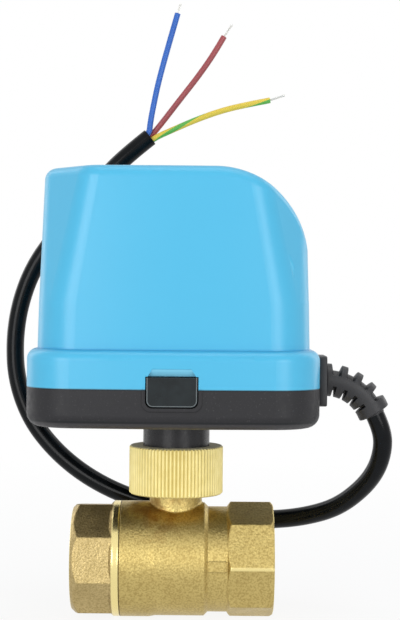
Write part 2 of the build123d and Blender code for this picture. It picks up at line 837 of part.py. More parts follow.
# IDLER AXLE: pin held in both plates of the gear frame
with BuildPart() as idler_axle:
    with BuildSketch(Plane.XY.offset(lower_plate_z - 0.3)):
        with Locations(idler_centre):
            Circle(idler_axle_r)
    extrude(amount=upper_plate_z + plate_thickness - lower_plate_z)
idler_axle.part.label = "idler_axle"
export_step(idler_axle.part, "parts/idler_axle.step")

# MOTOR PINION: 12 teeth on the geared motor's output shaft, a space facing the idler
with BuildPart() as motor_pinion:
    with BuildSketch(Plane.XY.offset(high_mesh_z - 0.2)):
        gear_outline(pinion_teeth, motor_pinion_bearing + 180 / pinion_teeth)
    extrude(amount=high_mesh_width + 0.4)
    with BuildSketch(Plane.XY.offset(high_mesh_z - 0.8)):
        Circle(2.5)
    extrude(amount=gearhead_z + 2.6 - high_mesh_z)
motor_pinion.part.locate(Location((motor_pinion_centre[0], motor_pinion_centre[1], 0)))
motor_pinion.part.label = "motor_pinion"
export_step(motor_pinion.part, "parts/motor_pinion.step")

# GEAR PLATES: two stamped plates that carry the shafts
plate_centre_x = (plate_low_x + plate_high_x) / 2
for name, level, shaft_hole, pinion_hole in (
    ("gear_plate_lower", lower_plate_z, journal_r + fit_gap, 0),
    ("gear_plate_upper", upper_plate_z, top_journal_r + fit_gap, 7.6),
):
    with BuildPart() as gear_plate:
        with BuildSketch(Plane.XY.offset(level)):
            with Locations((plate_centre_x, 0)):
                RectangleRounded(plate_high_x - plate_low_x, 2 * plate_half_y, plate_corner_r)
            Circle(shaft_hole, mode=Mode.SUBTRACT)
            with Locations(idler_centre):
                Circle(idler_axle_r + 0.02, mode=Mode.SUBTRACT)
            with Locations(post_places):
                Circle(screw_r + 0.1, mode=Mode.SUBTRACT)
            if pinion_hole:
                with Locations(motor_pinion_centre):
                    Circle(pinion_hole, mode=Mode.SUBTRACT)
                with Locations(motor_screw_places):
                    Circle(screw_r + 0.1, mode=Mode.SUBTRACT)
        extrude(amount=plate_thickness)
    gear_plate.part.label = name
    export_step(gear_plate.part, f"parts/{name}.step")

# FRAME PILLARS: four tubes that space the plates
with BuildPart() as frame_pillars:
    with BuildSketch(Plane.XY.offset(lower_plate_z + plate_thickness)):
        with Locations(post_places):
            Circle(pillar_r)
            Circle(screw_r + 0.05, mode=Mode.SUBTRACT)
    extrude(amount=upper_plate_z - lower_plate_z - plate_thickness)
frame_pillars.part.label = "frame_pillars"
export_step(frame_pillars.part, "parts/frame_pillars.step")

# FRAME SCREWS: four long screws through the plates and pillars into the tray's posts
with BuildPart() as frame_screws:
    with BuildSketch(Plane.XY.offset(screw_tip_z)):
        with Locations(post_places):
            Circle(screw_r)
    extrude(amount=upper_plate_z + plate_thickness - screw_tip_z)
    with BuildSketch(Plane.XY.offset(upper_plate_z + plate_thickness)):
        with Locations(post_places):
            Circle(screw_head_r)
    extrude(amount=screw_head_height)
    with BuildSketch(Plane.XY.offset(upper_plate_z + plate_thickness + screw_head_height - 0.9)):
        with Locations(post_places):
            Rectangle(3.4, 0.8)
            Rectangle(0.8, 3.4)
    extrude(amount=2, mode=Mode.SUBTRACT)
frame_screws.part.label = "frame_screws"
export_step(frame_screws.part, "parts/frame_screws.step")

# MOTOR GEARHEAD: flat reduction box of the synchronous motor, screwed to the upper plate
with BuildPart() as motor_gearhead:
    with BuildSketch(Plane.XY.offset(gearhead_z)):
        with Locations((motor_x, 0)):
            Circle(motor_r)
    extrude(amount=gearhead_height)
    chamfer(motor_gearhead.faces().sort_by(Axis.Z)[0].edges(), 0.6)
    with BuildSketch(Plane.XY.offset(gearhead_z)):
        with Locations(motor_pinion_centre):
            Circle(2.5 + fit_gap)
        with Locations(motor_screw_places):
            Circle(screw_r)
    extrude(amount=3.6, mode=Mode.SUBTRACT)
motor_gearhead.part.label = "motor_gearhead"
export_step(motor_gearhead.part, "parts/motor_gearhead.step")

# MOTOR CAN: drawn steel can with a rolled top edge, a raised centre and a wire outlet
with BuildPart() as motor_can:
    with BuildSketch(Plane.XY.offset(gearhead_z + gearhead_height)):
        with Locations((motor_x, 0)):
            Circle(motor_r - 0.7)
    extrude(amount=can_height)
    fillet(motor_can.faces().sort_by(Axis.Z)[-1].edges(), 1.8)
    with BuildSketch(Plane.XY.offset(gearhead_z + gearhead_height + can_height)):
        with Locations((motor_x, 0)):
            Circle(6.5)
    extrude(amount=0.8)
    with BuildSketch(Plane.YZ.offset(motor_x - motor_r + 4)):
        with Locations((0, gearhead_z + gearhead_height + can_height / 2)):
            RectangleRounded(9, 6, 1.2)
    extrude(amount=-5.4)
motor_can.part.label = "motor_can"
export_step(motor_can.part, "parts/motor_can.step")

# MOTOR SCREWS: three screws up through the plate into the gearhead
with BuildPart() as motor_screws:
    with BuildSketch(Plane.XY.offset(upper_plate_z)):
        with Locations(motor_screw_places):
            Circle(screw_r)
    extrude(amount=plate_thickness + 3.2)
    with BuildSketch(Plane.XY.offset(upper_plate_z - 1.3)):
        with Locations(motor_screw_places):
            Circle(screw_head_r)
    extrude(amount=1.3)
motor_screws.part.label = "motor_screws"
export_step(motor_screws.part, "parts/motor_screws.step")

# LIMIT SWITCHES AND THEIR BUTTONS: one on +X, and the same a quarter turn on, for +Y
for name, quarter in (("open", 0), ("closed", 90)):
    with BuildPart() as limit_switch:
        with BuildSketch(Plane.XY.offset(base_floor_z)):
            with Locations((switch_front + switch_depth / 2, button_offset)):
                RectangleRounded(switch_depth, switch_length, 0.8)
            with Locations(
                (switch_front + switch_depth - 2.6, button_offset + 4.8),
                (switch_front + switch_depth - 2.6, button_offset - 4.8),
            ):
                Circle(1.15, mode=Mode.SUBTRACT)
        extrude(amount=switch_height)
        with BuildSketch(Plane.XY.offset(button_z - fit_gap)):
            with Locations((switch_front, 0)):
                Rectangle(2 * button_pocket, button_width + 2 * fit_gap)
        extrude(amount=button_height + 2 * fit_gap, mode=Mode.SUBTRACT)
        # three flat terminals at the back
        with BuildSketch(Plane.XY.offset(base_floor_z + switch_height / 2 - 0.25)):
            with Locations([(switch_front + switch_depth + 1, button_offset + 7 * step) for step in (-1, 0, 1)]):
                Rectangle(3.4, 2.8)
        extrude(amount=0.5)
    limit_switch.part.locate(Location((0, 0, 0), (0, 0, quarter)))
    limit_switch.part.label = f"switch_{name}"
    export_step(limit_switch.part, f"parts/switch_{name}.step")

    with BuildPart() as switch_button:
        with BuildSketch(Plane.XY.offset(button_z)):
            with Locations(((button_tip + switch_front + button_seat) / 2, 0)):
                Rectangle(switch_front + button_seat - button_tip, button_width)
        extrude(amount=button_height)
        fillet(switch_button.faces().sort_by(Axis.X)[0].edges().filter_by(Axis.Z), 0.6)
    switch_button.part.locate(Location((0, 0, 0), (0, 0, quarter)))
    switch_button.part.label = f"button_{name}"
    export_step(switch_button.part, f"parts/button_{name}.step")

# CONTROL BOARD: upright circuit board in the tray's slotted rails
with BuildPart() as control_board:
    with BuildSketch(Plane.YZ.offset(board_x)):
        with Locations(((board_y[0] + board_y[1]) / 2, (board_low_z + board_top_z) / 2)):
            RectangleRounded(board_y[1] - board_y[0], board_top_z - board_low_z, 1)
    extrude(amount=board_thickness)
control_board.part.label = "control_board"
export_step(control_board.part, "parts/control_board.step")

# RELAY AND TERMINAL BLOCK on the board's inner face
with BuildPart() as relay:
    with BuildSketch(Plane.YZ.offset(board_x + board_thickness)):
        with Locations((relay_y, relay_z)):
            RectangleRounded(relay_width, relay_height, 0.8)
    extrude(amount=relay_depth)
    chamfer(relay.faces().sort_by(Axis.X)[-1].edges(), 0.5)
relay.part.label = "relay"
export_step(relay.part, "parts/relay.step")

with BuildPart() as terminal_block:
    with BuildSketch(Plane.YZ.offset(board_x + board_thickness)):
        with Locations((terminal_y, terminal_z)):
            Rectangle(4 * terminal_pitch, terminal_height)
    extrude(amount=terminal_depth)
    chamfer(terminal_block.faces().sort_by(Axis.X)[-1].edges().filter_by(Axis.Y), terminal_bevel)
    terminal_hole_x = board_x + board_thickness + (terminal_depth - terminal_bevel) / 2
    with BuildSketch(Plane.XY.offset(terminal_z + terminal_height / 2)):
        with Locations([(terminal_hole_x, terminal_y + terminal_pitch * step) for step in (-1.5, -0.5, 0.5, 1.5)]):
            Circle(terminal_hole_r)
    extrude(amount=-terminal_hole_depth, mode=Mode.SUBTRACT)
terminal_block.part.label = "terminal_block"
export_step(terminal_block.part, "parts/terminal_block.step")

# STRAIN RELIEF: square gland in the casing's slot and a ribbed tail that bends down with the cable
with BuildPart() as strain_relief:
    with BuildSketch(Plane.YZ.offset(relief_x)):
        with Locations((0, relief_z)):
            RectangleRounded(relief_plate, relief_plate, 1.2)
    extrude(amount=relief_face_x - relief_x)
    with BuildSketch(Plane.YZ.offset(relief_x - base_wall - 0.1)):
        with Locations((0, relief_z)):
            RectangleRounded(relief_neck, relief_neck, 1.4)
    extrude(amount=base_wall + 0.2)
    with BuildSketch(Plane.YZ.offset(relief_x - base_wall - 0.1)):
        with Locations((0, relief_z)):
            RectangleRounded(relief_neck + 4, relief_neck + 4, 1.4)
    extrude(amount=-1.8)
    with BuildLine(Plane.XZ) as relief_path:
        bend = JernArc((relief_face_x, relief_z), (1, 0), relief_bend_r, -relief_turn)
        Line(bend @ 1, (bend @ 1) + (bend % 1) * relief_tail)
    with BuildSketch(Plane.YZ.offset(relief_face_x)):
        with Locations((0, relief_z)):
            Circle(rib_r)
    sweep(path=relief_path.wires()[0])
    relief_wire = relief_path.wires()[0]
    for slot in range(slot_count):
        along = (first_slot + slot * rib_pitch) / relief_wire.length
        slot_plane = Plane(origin=relief_wire @ along, x_dir=(0, 1, 0), z_dir=relief_wire % along)
        with BuildSketch(slot_plane):
            with Locations((0, spine_half + rib_r)):
                Rectangle(4 * rib_r, 2 * rib_r)
        extrude(amount=slot_outside / 2, both=True, mode=Mode.SUBTRACT)
        with BuildSketch(slot_plane):
            with Locations((0, -spine_half - rib_r)):
                Rectangle(4 * rib_r, 2 * rib_r)
        extrude(amount=slot_inside / 2, both=True, mode=Mode.SUBTRACT)
    with BuildSketch(Plane.YZ.offset(relief_face_x)):
        with Locations((0, relief_z)):
            Circle(sleeve_r)
    sweep(path=relief_wire)
strain_relief.part.label = "strain_relief"
export_step(strain_relief.part, "parts/strain_relief.step")
relief_end = relief_wire @ 1
relief_heading = relief_wire % 1


# Radii for a route's corners: 0.45 of the shorter run over the tangent of half the turn
def corner_radii(route):
    points = [Vector(point) for point in route]
    radii = []
    for before, corner, after in zip(points, points[1:], points[2:]):
        turn = (corner - before).get_angle(after - corner)
        shorter = min((corner - before).length, (after - corner).length)
        radii.append(0.45 * shorter / math.tan(math.radians(turn / 2)))
    return radii


# Round lead along a route, with its radii and its volume against section times length printed
def lead(name, route, radius):
    radii = corner_radii(route)
    with BuildPart() as tube:
        with BuildLine() as path:
            FilletPolyline(*route, radius=radii)
        wire = path.wires()[0]
        with BuildSketch(Plane(origin=wire @ 0, z_dir=wire % 0)):
            Circle(radius)
        sweep(path=wire)
        expected = math.pi * radius ** 2 * wire.length
        # mouth of the sheath, where the cores come out
        if name == "cable":
            with BuildSketch(Plane(origin=wire @ 1, z_dir=wire % 1)):
                Circle(sheath_bore_r)
            extrude(amount=-sheath_bore_depth, mode=Mode.SUBTRACT)
    tube.part.label = name
    export_step(tube.part, f"parts/{name}.step")
    print(name, "length", round(wire.length, 1), "volume ratio", round(tube.part.volume / expected, 4))
    print("  radii", [round(value, 1) for value in radii])


# CABLE: three-core lead, 6 mm, from the strain relief round behind the valve and the casing
cable_route = [
    (relief_end.X, 0, relief_end.Z),
    (relief_end.X + exit_run * relief_heading.X, 0, relief_end.Z + exit_run * relief_heading.Z),
    (64.9, 1.3, 35.6),
    (63.5, 4.6, 28.1),
    (59.4, 9.8, 21.1),
    (51.9, 16.0, 14.1),
    (42.2, 22.3, 10.2),
    (31.5, 27.0, 8.3),
    (18.7, 29.6, 7.9),
    (4.7, 31.2, 9.7),
    (-9.1, 32.7, 12.5),
    (-21.2, 34.8, 16.3),
    (-32.6, 37.2, 22.2),
    (-42.6, 39.8, 30.2),
    (-50.6, 41.9, 40.2),
    (-55.4, 43.1, 53.1),
    (-56.2, 43.6, 66.7),
    (-54.3, 43.5, 79.5),
    (-49.7, 43.4, 91.7),
    (-42.1, 43.0, 102.4),
    (-33.9, 42.3, 112.3),
    (-25.2, 41.4, 122.6),
    (-18.3, 41.0, 129.5),
    (-10.5, 41.0, 135.8),
]
lead("cable", cable_route, cable_r)

# CORES: three insulated wires that fan out of the sheath's end, each with a bare end
core_routes = {
    "blue": [
        (-12.66, 40.2, 135.29),
        (-10.71, 40.2, 136.85),
        (-10.4, 40.5, 140.6),
        (-9.5, 40.8, 145.8),
        (-7.9, 41.0, 153.9),
        (-5.7, 41.0, 162.4),
        (-3.7, 41.0, 169.7),
        (-1.4, 41.0, 177.9),
    ],
    "brown": [
        (-12.2, 42.22, 134.72),
        (-9.93, 42.22, 136.53),
        (-6.3, 42.0, 141.0),
        (-0.1, 41.4, 149.1),
        (6.2, 41.0, 157.2),
        (11.4, 41.0, 164.9),
        (14.4, 41.0, 170.2),
    ],
    "yellow_green": [
        (-11.33, 40.58, 133.64),
        (-9.07, 40.58, 135.45),
        (-3.1, 40.7, 138.2),
        (5.2, 41.0, 141.9),
        (13.3, 41.0, 144.9),
        (21.5, 41.0, 147.0),
        (30.2, 41.0, 148.7),
    ],
}
bare_lengths = {"blue": 3.6, "brown": 5.0, "yellow_green": 5.4}
for name, route in core_routes.items():
    lead(f"core_{name}", route, core_r)
    last_run = Vector(route[-1]) - Vector(route[-2])
    with BuildPart() as bare_end:
        with BuildSketch(Plane(origin=route[-1], z_dir=last_run)):
            Circle(tip_r)
        extrude(amount=bare_lengths[name])
    bare_end.part.label = f"bare_end_{name}"
    export_step(bare_end.part, f"parts/bare_end_{name}.step")
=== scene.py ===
"""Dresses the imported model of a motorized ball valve: finishes, cords, moulded details, light and camera.

Lengths are in metres, and in millimetres where a name ends in _mm. The frame is the model's: the ball's
centre is the origin, X runs along the pipe, and Z runs up the stem.
"""

import logging
import math
from dataclasses import dataclass
from enum import Enum

import bpy
import numpy as np
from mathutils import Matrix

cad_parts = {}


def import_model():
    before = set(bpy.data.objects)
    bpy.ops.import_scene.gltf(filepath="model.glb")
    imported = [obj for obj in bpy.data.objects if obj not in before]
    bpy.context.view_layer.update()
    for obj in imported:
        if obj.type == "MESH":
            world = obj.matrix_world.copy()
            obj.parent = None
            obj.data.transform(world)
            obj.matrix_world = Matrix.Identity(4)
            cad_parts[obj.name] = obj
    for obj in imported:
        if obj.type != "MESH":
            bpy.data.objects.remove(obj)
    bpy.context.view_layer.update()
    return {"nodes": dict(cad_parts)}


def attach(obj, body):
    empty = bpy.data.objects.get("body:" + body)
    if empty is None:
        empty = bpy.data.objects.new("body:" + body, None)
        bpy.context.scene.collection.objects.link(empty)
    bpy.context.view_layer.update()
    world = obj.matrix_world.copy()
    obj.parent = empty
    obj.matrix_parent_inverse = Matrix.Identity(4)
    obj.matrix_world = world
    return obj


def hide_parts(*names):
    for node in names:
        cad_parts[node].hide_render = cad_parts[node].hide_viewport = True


LOG = logging.getLogger("valve")
MM = 0.001
ROOT = "valve_and_tray"
ORIGIN = (0.0, 0.0, 0.0)
SHARP_ANGLE = math.radians(40)
# the noise at which mottling starts, and at which it is fullest
MOTTLE_RANGE = (0.25, 0.75)

Feed = bpy.types.Node | bpy.types.NodeSocket
Pair = tuple[float, float]
Point = tuple[float, float, float]


def linear(hex_colour: str) -> tuple[float, float, float, float]:
    """Turn an sRGB hex colour into linear light.

    Args:
        hex_colour: Six hex digits, such as "5BC2EA".

    Returns:
        Red, green, blue and an alpha of 1.
    """
    channels = np.array([int(hex_colour[i : i + 2], 16) for i in (0, 2, 4)]) / 255
    light = np.where(channels <= 0.04045, channels / 12.92, ((channels + 0.055) / 1.055) ** 2.4)
    return (float(light[0]), float(light[1]), float(light[2]), 1.0)


def add_node(
    tree: bpy.types.NodeTree, kind: str, feeds: dict | None = None, **settings: object
) -> bpy.types.Node:
    """Add a shader node, set its properties, and fill or link its sockets.

    Args:
        tree: The node tree.
        kind: Blender's name for the node type, after its prefix.
        feeds: For each input, by name or number, a value, the output that feeds it, or a node whose first
            output in use feeds it.
        **settings: Properties of the node.

    Returns:
        The new node.
    """
    node = tree.nodes.new("ShaderNode" + kind)
    for name, value in settings.items():
        setattr(node, name, value)
    for socket, value in (feeds or {}).items():
        if isinstance(value, bpy.types.Node):
            value = next(output for output in value.outputs if output.enabled)
        if isinstance(value, bpy.types.NodeSocket):
            tree.links.new(value, node.inputs[socket])
        else:
            node.inputs[socket].default_value = value
    return node


def sums(tree: bpy.types.NodeTree, kind: str, value: Feed, *steps: tuple) -> Feed:
    """Do sums on a value, one after the other.

    Args:
        tree: The node tree.
        kind: Math for numbers, or VectorMath for vectors.
        value: The value.
        *steps: Each an operation and, where it takes two, what it is done with.

    Returns:
        The result.
    """
    for operation, *others in steps:
        value = add_node(tree, kind, dict(enumerate((value, *others))), operation=operation)
    return value


class Mark:
    """A part of a surface, marked by a share that is 0 elsewhere."""

    def share(self, tree: bpy.types.NodeTree, place: Feed) -> Feed:
        """Work out the share, in each kind of mark by its own rule.

        Args:
            tree: The material's nodes.
            place: The coordinates.

        Returns:
            The share.
        """
        raise NotImplementedError


class Counted(Enum):
    """The coordinates that count in a distance: one from a plane, two from a line, and three from a point."""

    ALONG = (1.0, 0.0, 0.0)
    ACROSS = (0.0, 1.0, 0.0)
    UP = (0.0, 0.0, 1.0)
    FACE_ON = (1.0, 0.0, 1.0)
    ROUND_PIPE = (0.0, 1.0, 1.0)
    ROUND_STEM = (1.0, 1.0, 0.0)
    EVERY_WAY = (1.0, 1.0, 1.0)


@dataclass(frozen=True)
class Near(Mark):
    """What is near a plane, a line or a point, or a box round it.

    Attributes:
        counted: The coordinates that count.
        middle_mm: Where the plane, line or point is.
        full_mm: The distance at which the share is full.
        none_mm: The distance at which it is 0. It changes between the two alone, and either may be greater.
        strength: The full share.
        half_mm: Half the box's size.
    """

    counted: Counted
    middle_mm: Point
    full_mm: float
    none_mm: float
    strength: float = 1.0
    half_mm: Point = ORIGIN

    def share(self, tree: bpy.types.NodeTree, place: Feed) -> Feed:
        """Take the length of how far the coordinates that count are outside the box.

        Args:
            tree: The material's nodes.
            place: The coordinates.

        Returns:
            The share.
        """
        away = sums(
            tree,
            "VectorMath",
            place,
            ("SUBTRACT", tuple(MM * part for part in self.middle_mm)),
            ("ABSOLUTE",),
            ("SUBTRACT", tuple(MM * part for part in self.half_mm)),
            ("MAXIMUM", ORIGIN),
            ("MULTIPLY", self.counted.value),
            ("LENGTH",),
        )
        reach = {"From Min": self.none_mm * MM, "From Max": self.full_mm * MM, "To Max": self.strength}
        return add_node(tree, "MapRange", {"Value": away, **reach})


@dataclass(frozen=True)
class Patches(Mark):
    """Soft random patches.

    Attributes:
        size_mm: Size of a patch.
        start: The noise at which the share starts to rise from 0.
        end: The noise at which it is highest.
        strength: The highest share.
    """

    size_mm: float
    start: float
    end: float
    strength: float

    def share(self, tree: bpy.types.NodeTree, place: Feed) -> Feed:
        """Work out the share from a noise.

        Args:
            tree: The material's nodes.
            place: The coordinates.

        Returns:
            The share.
        """
        scale = 1 / (self.size_mm * MM)
        cloud = add_node(tree, "TexNoise", {"Vector": place, "Scale": scale, "Detail": 3.0})
        reach = {"From Min": self.start, "From Max": self.end, "To Max": self.strength}
        return add_node(tree, "MapRange", {"Value": cloud, **reach}, interpolation_type="SMOOTHSTEP")


@dataclass(frozen=True)
class LevelLines(Mark):
    """Fine level lines.

    Attributes:
        step_mm: Distance from line to line.
        least: The share between two lines.
    """

    step_mm: float
    least: float

    def share(self, tree: bpy.types.NodeTree, place: Feed) -> Feed:
        """Work out the share from the sine of the height.

        Args:
            tree: The material's nodes.
            place: The coordinates.

        Returns:
            The share.
        """
        height = add_node(tree, "SeparateXYZ", {"Vector": place}).outputs["Z"]
        wave = sums(tree, "Math", height, ("MULTIPLY", 2 * math.pi / (self.step_mm * MM)), ("SINE",))
        return add_node(tree, "MapRange", {"Value": wave, "From Min": -1.0, "To Min": self.least})


@dataclass(frozen=True)
class Stripe(Mark):
    """A stripe that winds slowly round a core. It needs the place along and round the core.

    Attributes:
        width: Part of the turn that it covers.
        start: Where it begins at the sheath, in turns.
        lay_mm: Length in which it winds once round.
    """

    width: float
    start: float
    lay_mm: float

    def share(self, tree: bpy.types.NodeTree, place: Feed) -> Feed:
        """Mark where the turn, with the winding so far, falls in the width.

        Args:
            tree: The material's nodes.
            place: The place along and round the core.

        Returns:
            The share.
        """
        split = add_node(tree, "SeparateXYZ", {"Vector": place}).outputs
        return sums(
            tree,
            "Math",
            split["X"],
            ("MULTIPLY", 1 / (self.lay_mm * MM)),
            ("ADD", split["Y"]),
            ("ADD", -self.start),
            ("FRACT",),
            ("LESS_THAN", self.width),
        )


class Chain(Enum):
    """How shares are put together: a product where all have to hold, or the largest where any will do."""

    ALL = "MULTIPLY"
    ANY = "MAXIMUM"


@dataclass(frozen=True)
class Joined(Mark):
    """Several marks put together.

    Attributes:
        chain: How they are put together.
        marks: The marks.
    """

    chain: Chain
    marks: tuple[Mark, ...]

    def share(self, tree: bpy.types.NodeTree, place: Feed) -> Feed:
        """Put the marks' shares together, one after the other."""
        first, *rest = (mark.share(tree, place) for mark in self.marks)
        return sums(tree, "Math", first, *((self.chain.value, share) for share in rest))


class Reading(Enum):
    """What the patterns of a finish are read by, by the name of the output that gives it."""

    IN_SPACE = "Object"
    ALONG_LEAD = "UV"


@dataclass(frozen=True)
class Finish:
    """A surface with mottled colour, varied roughness and a fine relief.

    Attributes:
        name: The material's name.
        colour: Main colour, sRGB hex.
        shade: The colour that the mottling moves towards, sRGB hex.
        roughness: Middle roughness.
        spread: How far the roughness varies either way.
        metallic: 1 for bare metal.
        ior: Index of refraction of a plastic, left at the default for a metal.
        mottle_mm: Size of the mottling.
        mottle: Greatest share of the shade colour.
        grain_mm: Size of the relief's grain.
        relief_mm: Depth of the relief.
        coat: Strength of a clear skin.
        specular: How strongly the surface mirrors, 0.5 for its index of refraction alone.
        edge_mm: Radius by which sharp edges look rounded, 0 for none.
        layers: Marks with the colours laid on them, sRGB hex, from the lowest layer up.
        smooth: The part that is smoother than the rest.
        smoother: How much less rough it is.
        left_over: How much of the relief it keeps.
        reading: What the patterns are read by.
    """

    name: str
    colour: str
    shade: str
    roughness: float
    spread: float = 0.05
    metallic: float = 0.0
    ior: float = 1.5
    mottle_mm: float = 9.0
    mottle: float = 0.5
    grain_mm: float = 0.6
    relief_mm: float = 0.01
    coat: float = 0.0
    specular: float = 0.5
    edge_mm: float = 0.0
    layers: tuple[tuple[Mark, str], ...] = ()
    smooth: Mark | None = None
    smoother: float = 0.0
    left_over: float = 1.0
    reading: Reading = Reading.IN_SPACE

    def colouring(self, tree: bpy.types.NodeTree, place: Feed) -> Feed:
        """Mottle the main colour with the shade, and lay the other colours over it.

        Args:
            tree: The material's nodes.
            place: The coordinates.

        Returns:
            The colour.
        """
        mottling = Patches(self.mottle_mm, *MOTTLE_RANGE, self.mottle)
        colour = linear(self.colour)
        for mark, over in ((mottling, self.shade), *self.layers):
            feeds = {"Factor": mark.share(tree, place), "A": colour, "B": linear(over)}
            colour = add_node(tree, "Mix", feeds, data_type="RGBA")
        return colour

    def roughening(self, tree: bpy.types.NodeTree, place: Feed) -> Feed:
        """Spread the roughness about its middle in patches, and lower it on the smooth part.

        Args:
            tree: The material's nodes.
            place: The coordinates.

        Returns:
            The roughness.
        """
        scale = 1 / (self.mottle_mm * MM)
        cloud = add_node(tree, "TexNoise", {"Vector": place, "Scale": scale, "Detail": 4.0})
        # the noise keeps within about 0.2 of its middle, so 0 and 1 stand for 2.5 times the spread either way
        reach = 2.5 * self.spread
        low, high = self.roughness - reach, self.roughness + reach
        rough = add_node(tree, "MapRange", {"Value": cloud, "To Min": low, "To Max": high})
        if self.smooth is None:
            return rough
        share = self.smooth.share(tree, place)
        return sums(tree, "Math", share, ("MULTIPLY", -self.smoother), ("ADD", rough))

    def relief(self, tree: bpy.types.NodeTree, place: Feed) -> Feed:
        """Raise a fine noise, and flatten it on the smooth part.

        Args:
            tree: The material's nodes.
            place: The coordinates.

        Returns:
            The height, from 0 to 1.
        """
        scale = 1 / (self.grain_mm * MM)
        height = add_node(tree, "TexNoise", {"Vector": place, "Scale": scale, "Detail": 3.0})
        if self.smooth is None:
            return height
        share = self.smooth.share(tree, place)
        kept = add_node(tree, "MapRange", {"Value": share, "To Min": 1.0, "To Max": self.left_over})
        return sums(tree, "Math", height, ("MULTIPLY", kept))

    def build(self) -> bpy.types.Material:
        """Build the material once, and give the same one after that.

        Returns:
            The material.
        """
        known = bpy.data.materials.get(self.name)
        if known:
            return known
        material = bpy.data.materials.new(self.name)
        material.use_nodes = True
        tree = material.node_tree
        tree.nodes.clear()
        place = add_node(tree, "TexCoord").outputs[self.reading.value]
        surface = {"Height": self.relief(tree, place), "Distance": self.relief_mm * MM, "Strength": 1.0}
        if self.edge_mm:
            surface["Normal"] = add_node(tree, "Bevel", {"Radius": self.edge_mm * MM}, samples=6)
        shader = add_node(
            tree,
            "BsdfPrincipled",
            {
                "Base Color": self.colouring(tree, place),
                "Roughness": self.roughening(tree, place),
                "Normal": add_node(tree, "Bump", surface),
                "Metallic": self.metallic,
                "IOR": self.ior,
                "Coat Weight": self.coat,
                "Specular IOR Level": self.specular,
            },
        )
        add_node(tree, "OutputMaterial", {"Surface": shader})
        return material


@dataclass(frozen=True)
class TurnedMetal(Finish):
    """Metal turned on a lathe about Z: fine rings across the axis.

    Attributes:
        ring_mm: Distance from ring to ring.
        wave_step: Distance from ring to ring of a wave whose scale is 1.
    """

    ring_mm: float = 0.35
    wave_step: float = 0.314

    def relief(self, tree: bpy.types.NodeTree, place: Feed) -> Feed:
        """Raise the rings, a wave along Z with a little noise.

        Args:
            tree: The material's nodes.
            place: The coordinates.

        Returns:
            The height, from 0 to 1.
        """
        scale = self.wave_step / (self.ring_mm * MM)
        rings = {"Vector": place, "Scale": scale, "Distortion": 0.6, "Detail Scale": 40.0}
        return add_node(tree, "TexWave", rings, bands_direction="Z").outputs["Fac"]


# a painted highlight along the right-hand end's mid-height edge, front and rear, where the flash was trimmed:
# a narrow bright line
TRIMMED_EDGE_HIGHLIGHT = Joined(
    Chain.ALL,
    (Near(Counted.UP, (0.0, 0.0, -0.2), 0.3, 0.65), Near(Counted.ALONG, (23.7, 0.0, 0.0), 6.6, 6.9)),
)
# the faces cut after forging, with the painted edge highlight: the trimmed flash, both ends, the bores,
# the collar by the joint, and the neck from the collar under the nut up
CUT_FACES_AND_EDGE_HIGHLIGHT = Joined(
    Chain.ANY,
    (
        TRIMMED_EDGE_HIGHLIGHT,
        Near(Counted.ALONG, (-0.8, 0.0, 0.0), 31.0, 30.9),
        Near(Counted.ROUND_PIPE, ORIGIN, 14.6, 15.2),
        Near(Counted.ALONG, (-18.1, 0.0, 0.0), 0.95, 1.25),
        Near(Counted.UP, (0.0, 0.0, 35.0), 14.4, 15.0),
    ),
)
# patches of oxide on the barrel's front, left of the stem boss's foot
OXIDE = Joined(
    Chain.ALL, (Near(Counted.EVERY_WAY, (-5.5, -6.0, 14.5), 5.0, 13.5), Patches(3.2, 0.38, 0.62, 0.55))
)
# the stem boss, a little cleaner than the barrel
BOSS = Joined(
    Chain.ALL,
    (Near(Counted.ROUND_STEM, ORIGIN, 8.7, 9.3, 0.05), Near(Counted.UP, (0.0, 0.0, 31.4), 15.0, 15.8)),
)
# the joint between the two halves of the body
BODY_JOINT = Near(Counted.ALONG, (-16.9, 0.0, 0.0), 0.07, 0.17)
# the thumb ramp over each latch, with painted light against the shade under its ceiling, and fine level lines
THUMB_RAMP_PAINTED_LIGHT = Joined(
    Chain.ALL,
    (
        Near(Counted.UP, (0.0, 0.0, 59.4), 1.28, 1.33),
        Near(Counted.ALONG, (-1.0, 0.0, 0.0), 7.2, 7.3),
        Near(Counted.ACROSS, ORIGIN, 30.72, 30.8),
        Near(Counted.ACROSS, ORIGIN, 28.8, 28.6),
        LevelLines(0.65, 0.8),
    ),
)
# a painted highlight, a thin line inside the latch's outline, a rectangle with rounded corners: the distance
# is that from the rectangle shrunk by the corners' radius
LATCH_MIDDLE_MM, LATCH_STRAIGHT_MM = (-1.0, 0.0, 56.0), (5.55, 0.0, 4.7)
LATCH_EDGE_HIGHLIGHT = Joined(
    Chain.ALL,
    (
        Near(Counted.FACE_ON, LATCH_MIDDLE_MM, 1.6, 1.5, 0.6, LATCH_STRAIGHT_MM),
        Near(Counted.FACE_ON, LATCH_MIDDLE_MM, 1.75, 1.85, 1.0, LATCH_STRAIGHT_MM),
    ),
)


def forged_brass(name: str, colour: str, shade: str) -> Finish:
    """Describe hot-forged, shot-blasted brass: a dull, pitted skin, bright cut faces, a painted edge
    highlight.

    Args:
        name: The material's name.
        colour: Main colour, sRGB hex.
        shade: Colour of the mottling and in the pits, sRGB hex.

    Returns:
        The finish.
    """
    bright, tarnish, joint = "F2E09C", "8E6128", "5A4520"
    pits = Patches(0.6, 0.42, 0.62, 0.55)
    return Finish(
        name, colour, shade, 0.42, 0.05, metallic=1.0, mottle_mm=6, mottle=0.2, grain_mm=0.7, relief_mm=0.14,
        edge_mm=0.8, smooth=CUT_FACES_AND_EDGE_HIGHLIGHT, smoother=0.19, left_over=0.15,
        layers=((pits, shade), (OXIDE, tarnish), (BOSS, bright), (CUT_FACES_AND_EDGE_HIGHLIGHT, bright), (BODY_JOINT, joint)),
    )
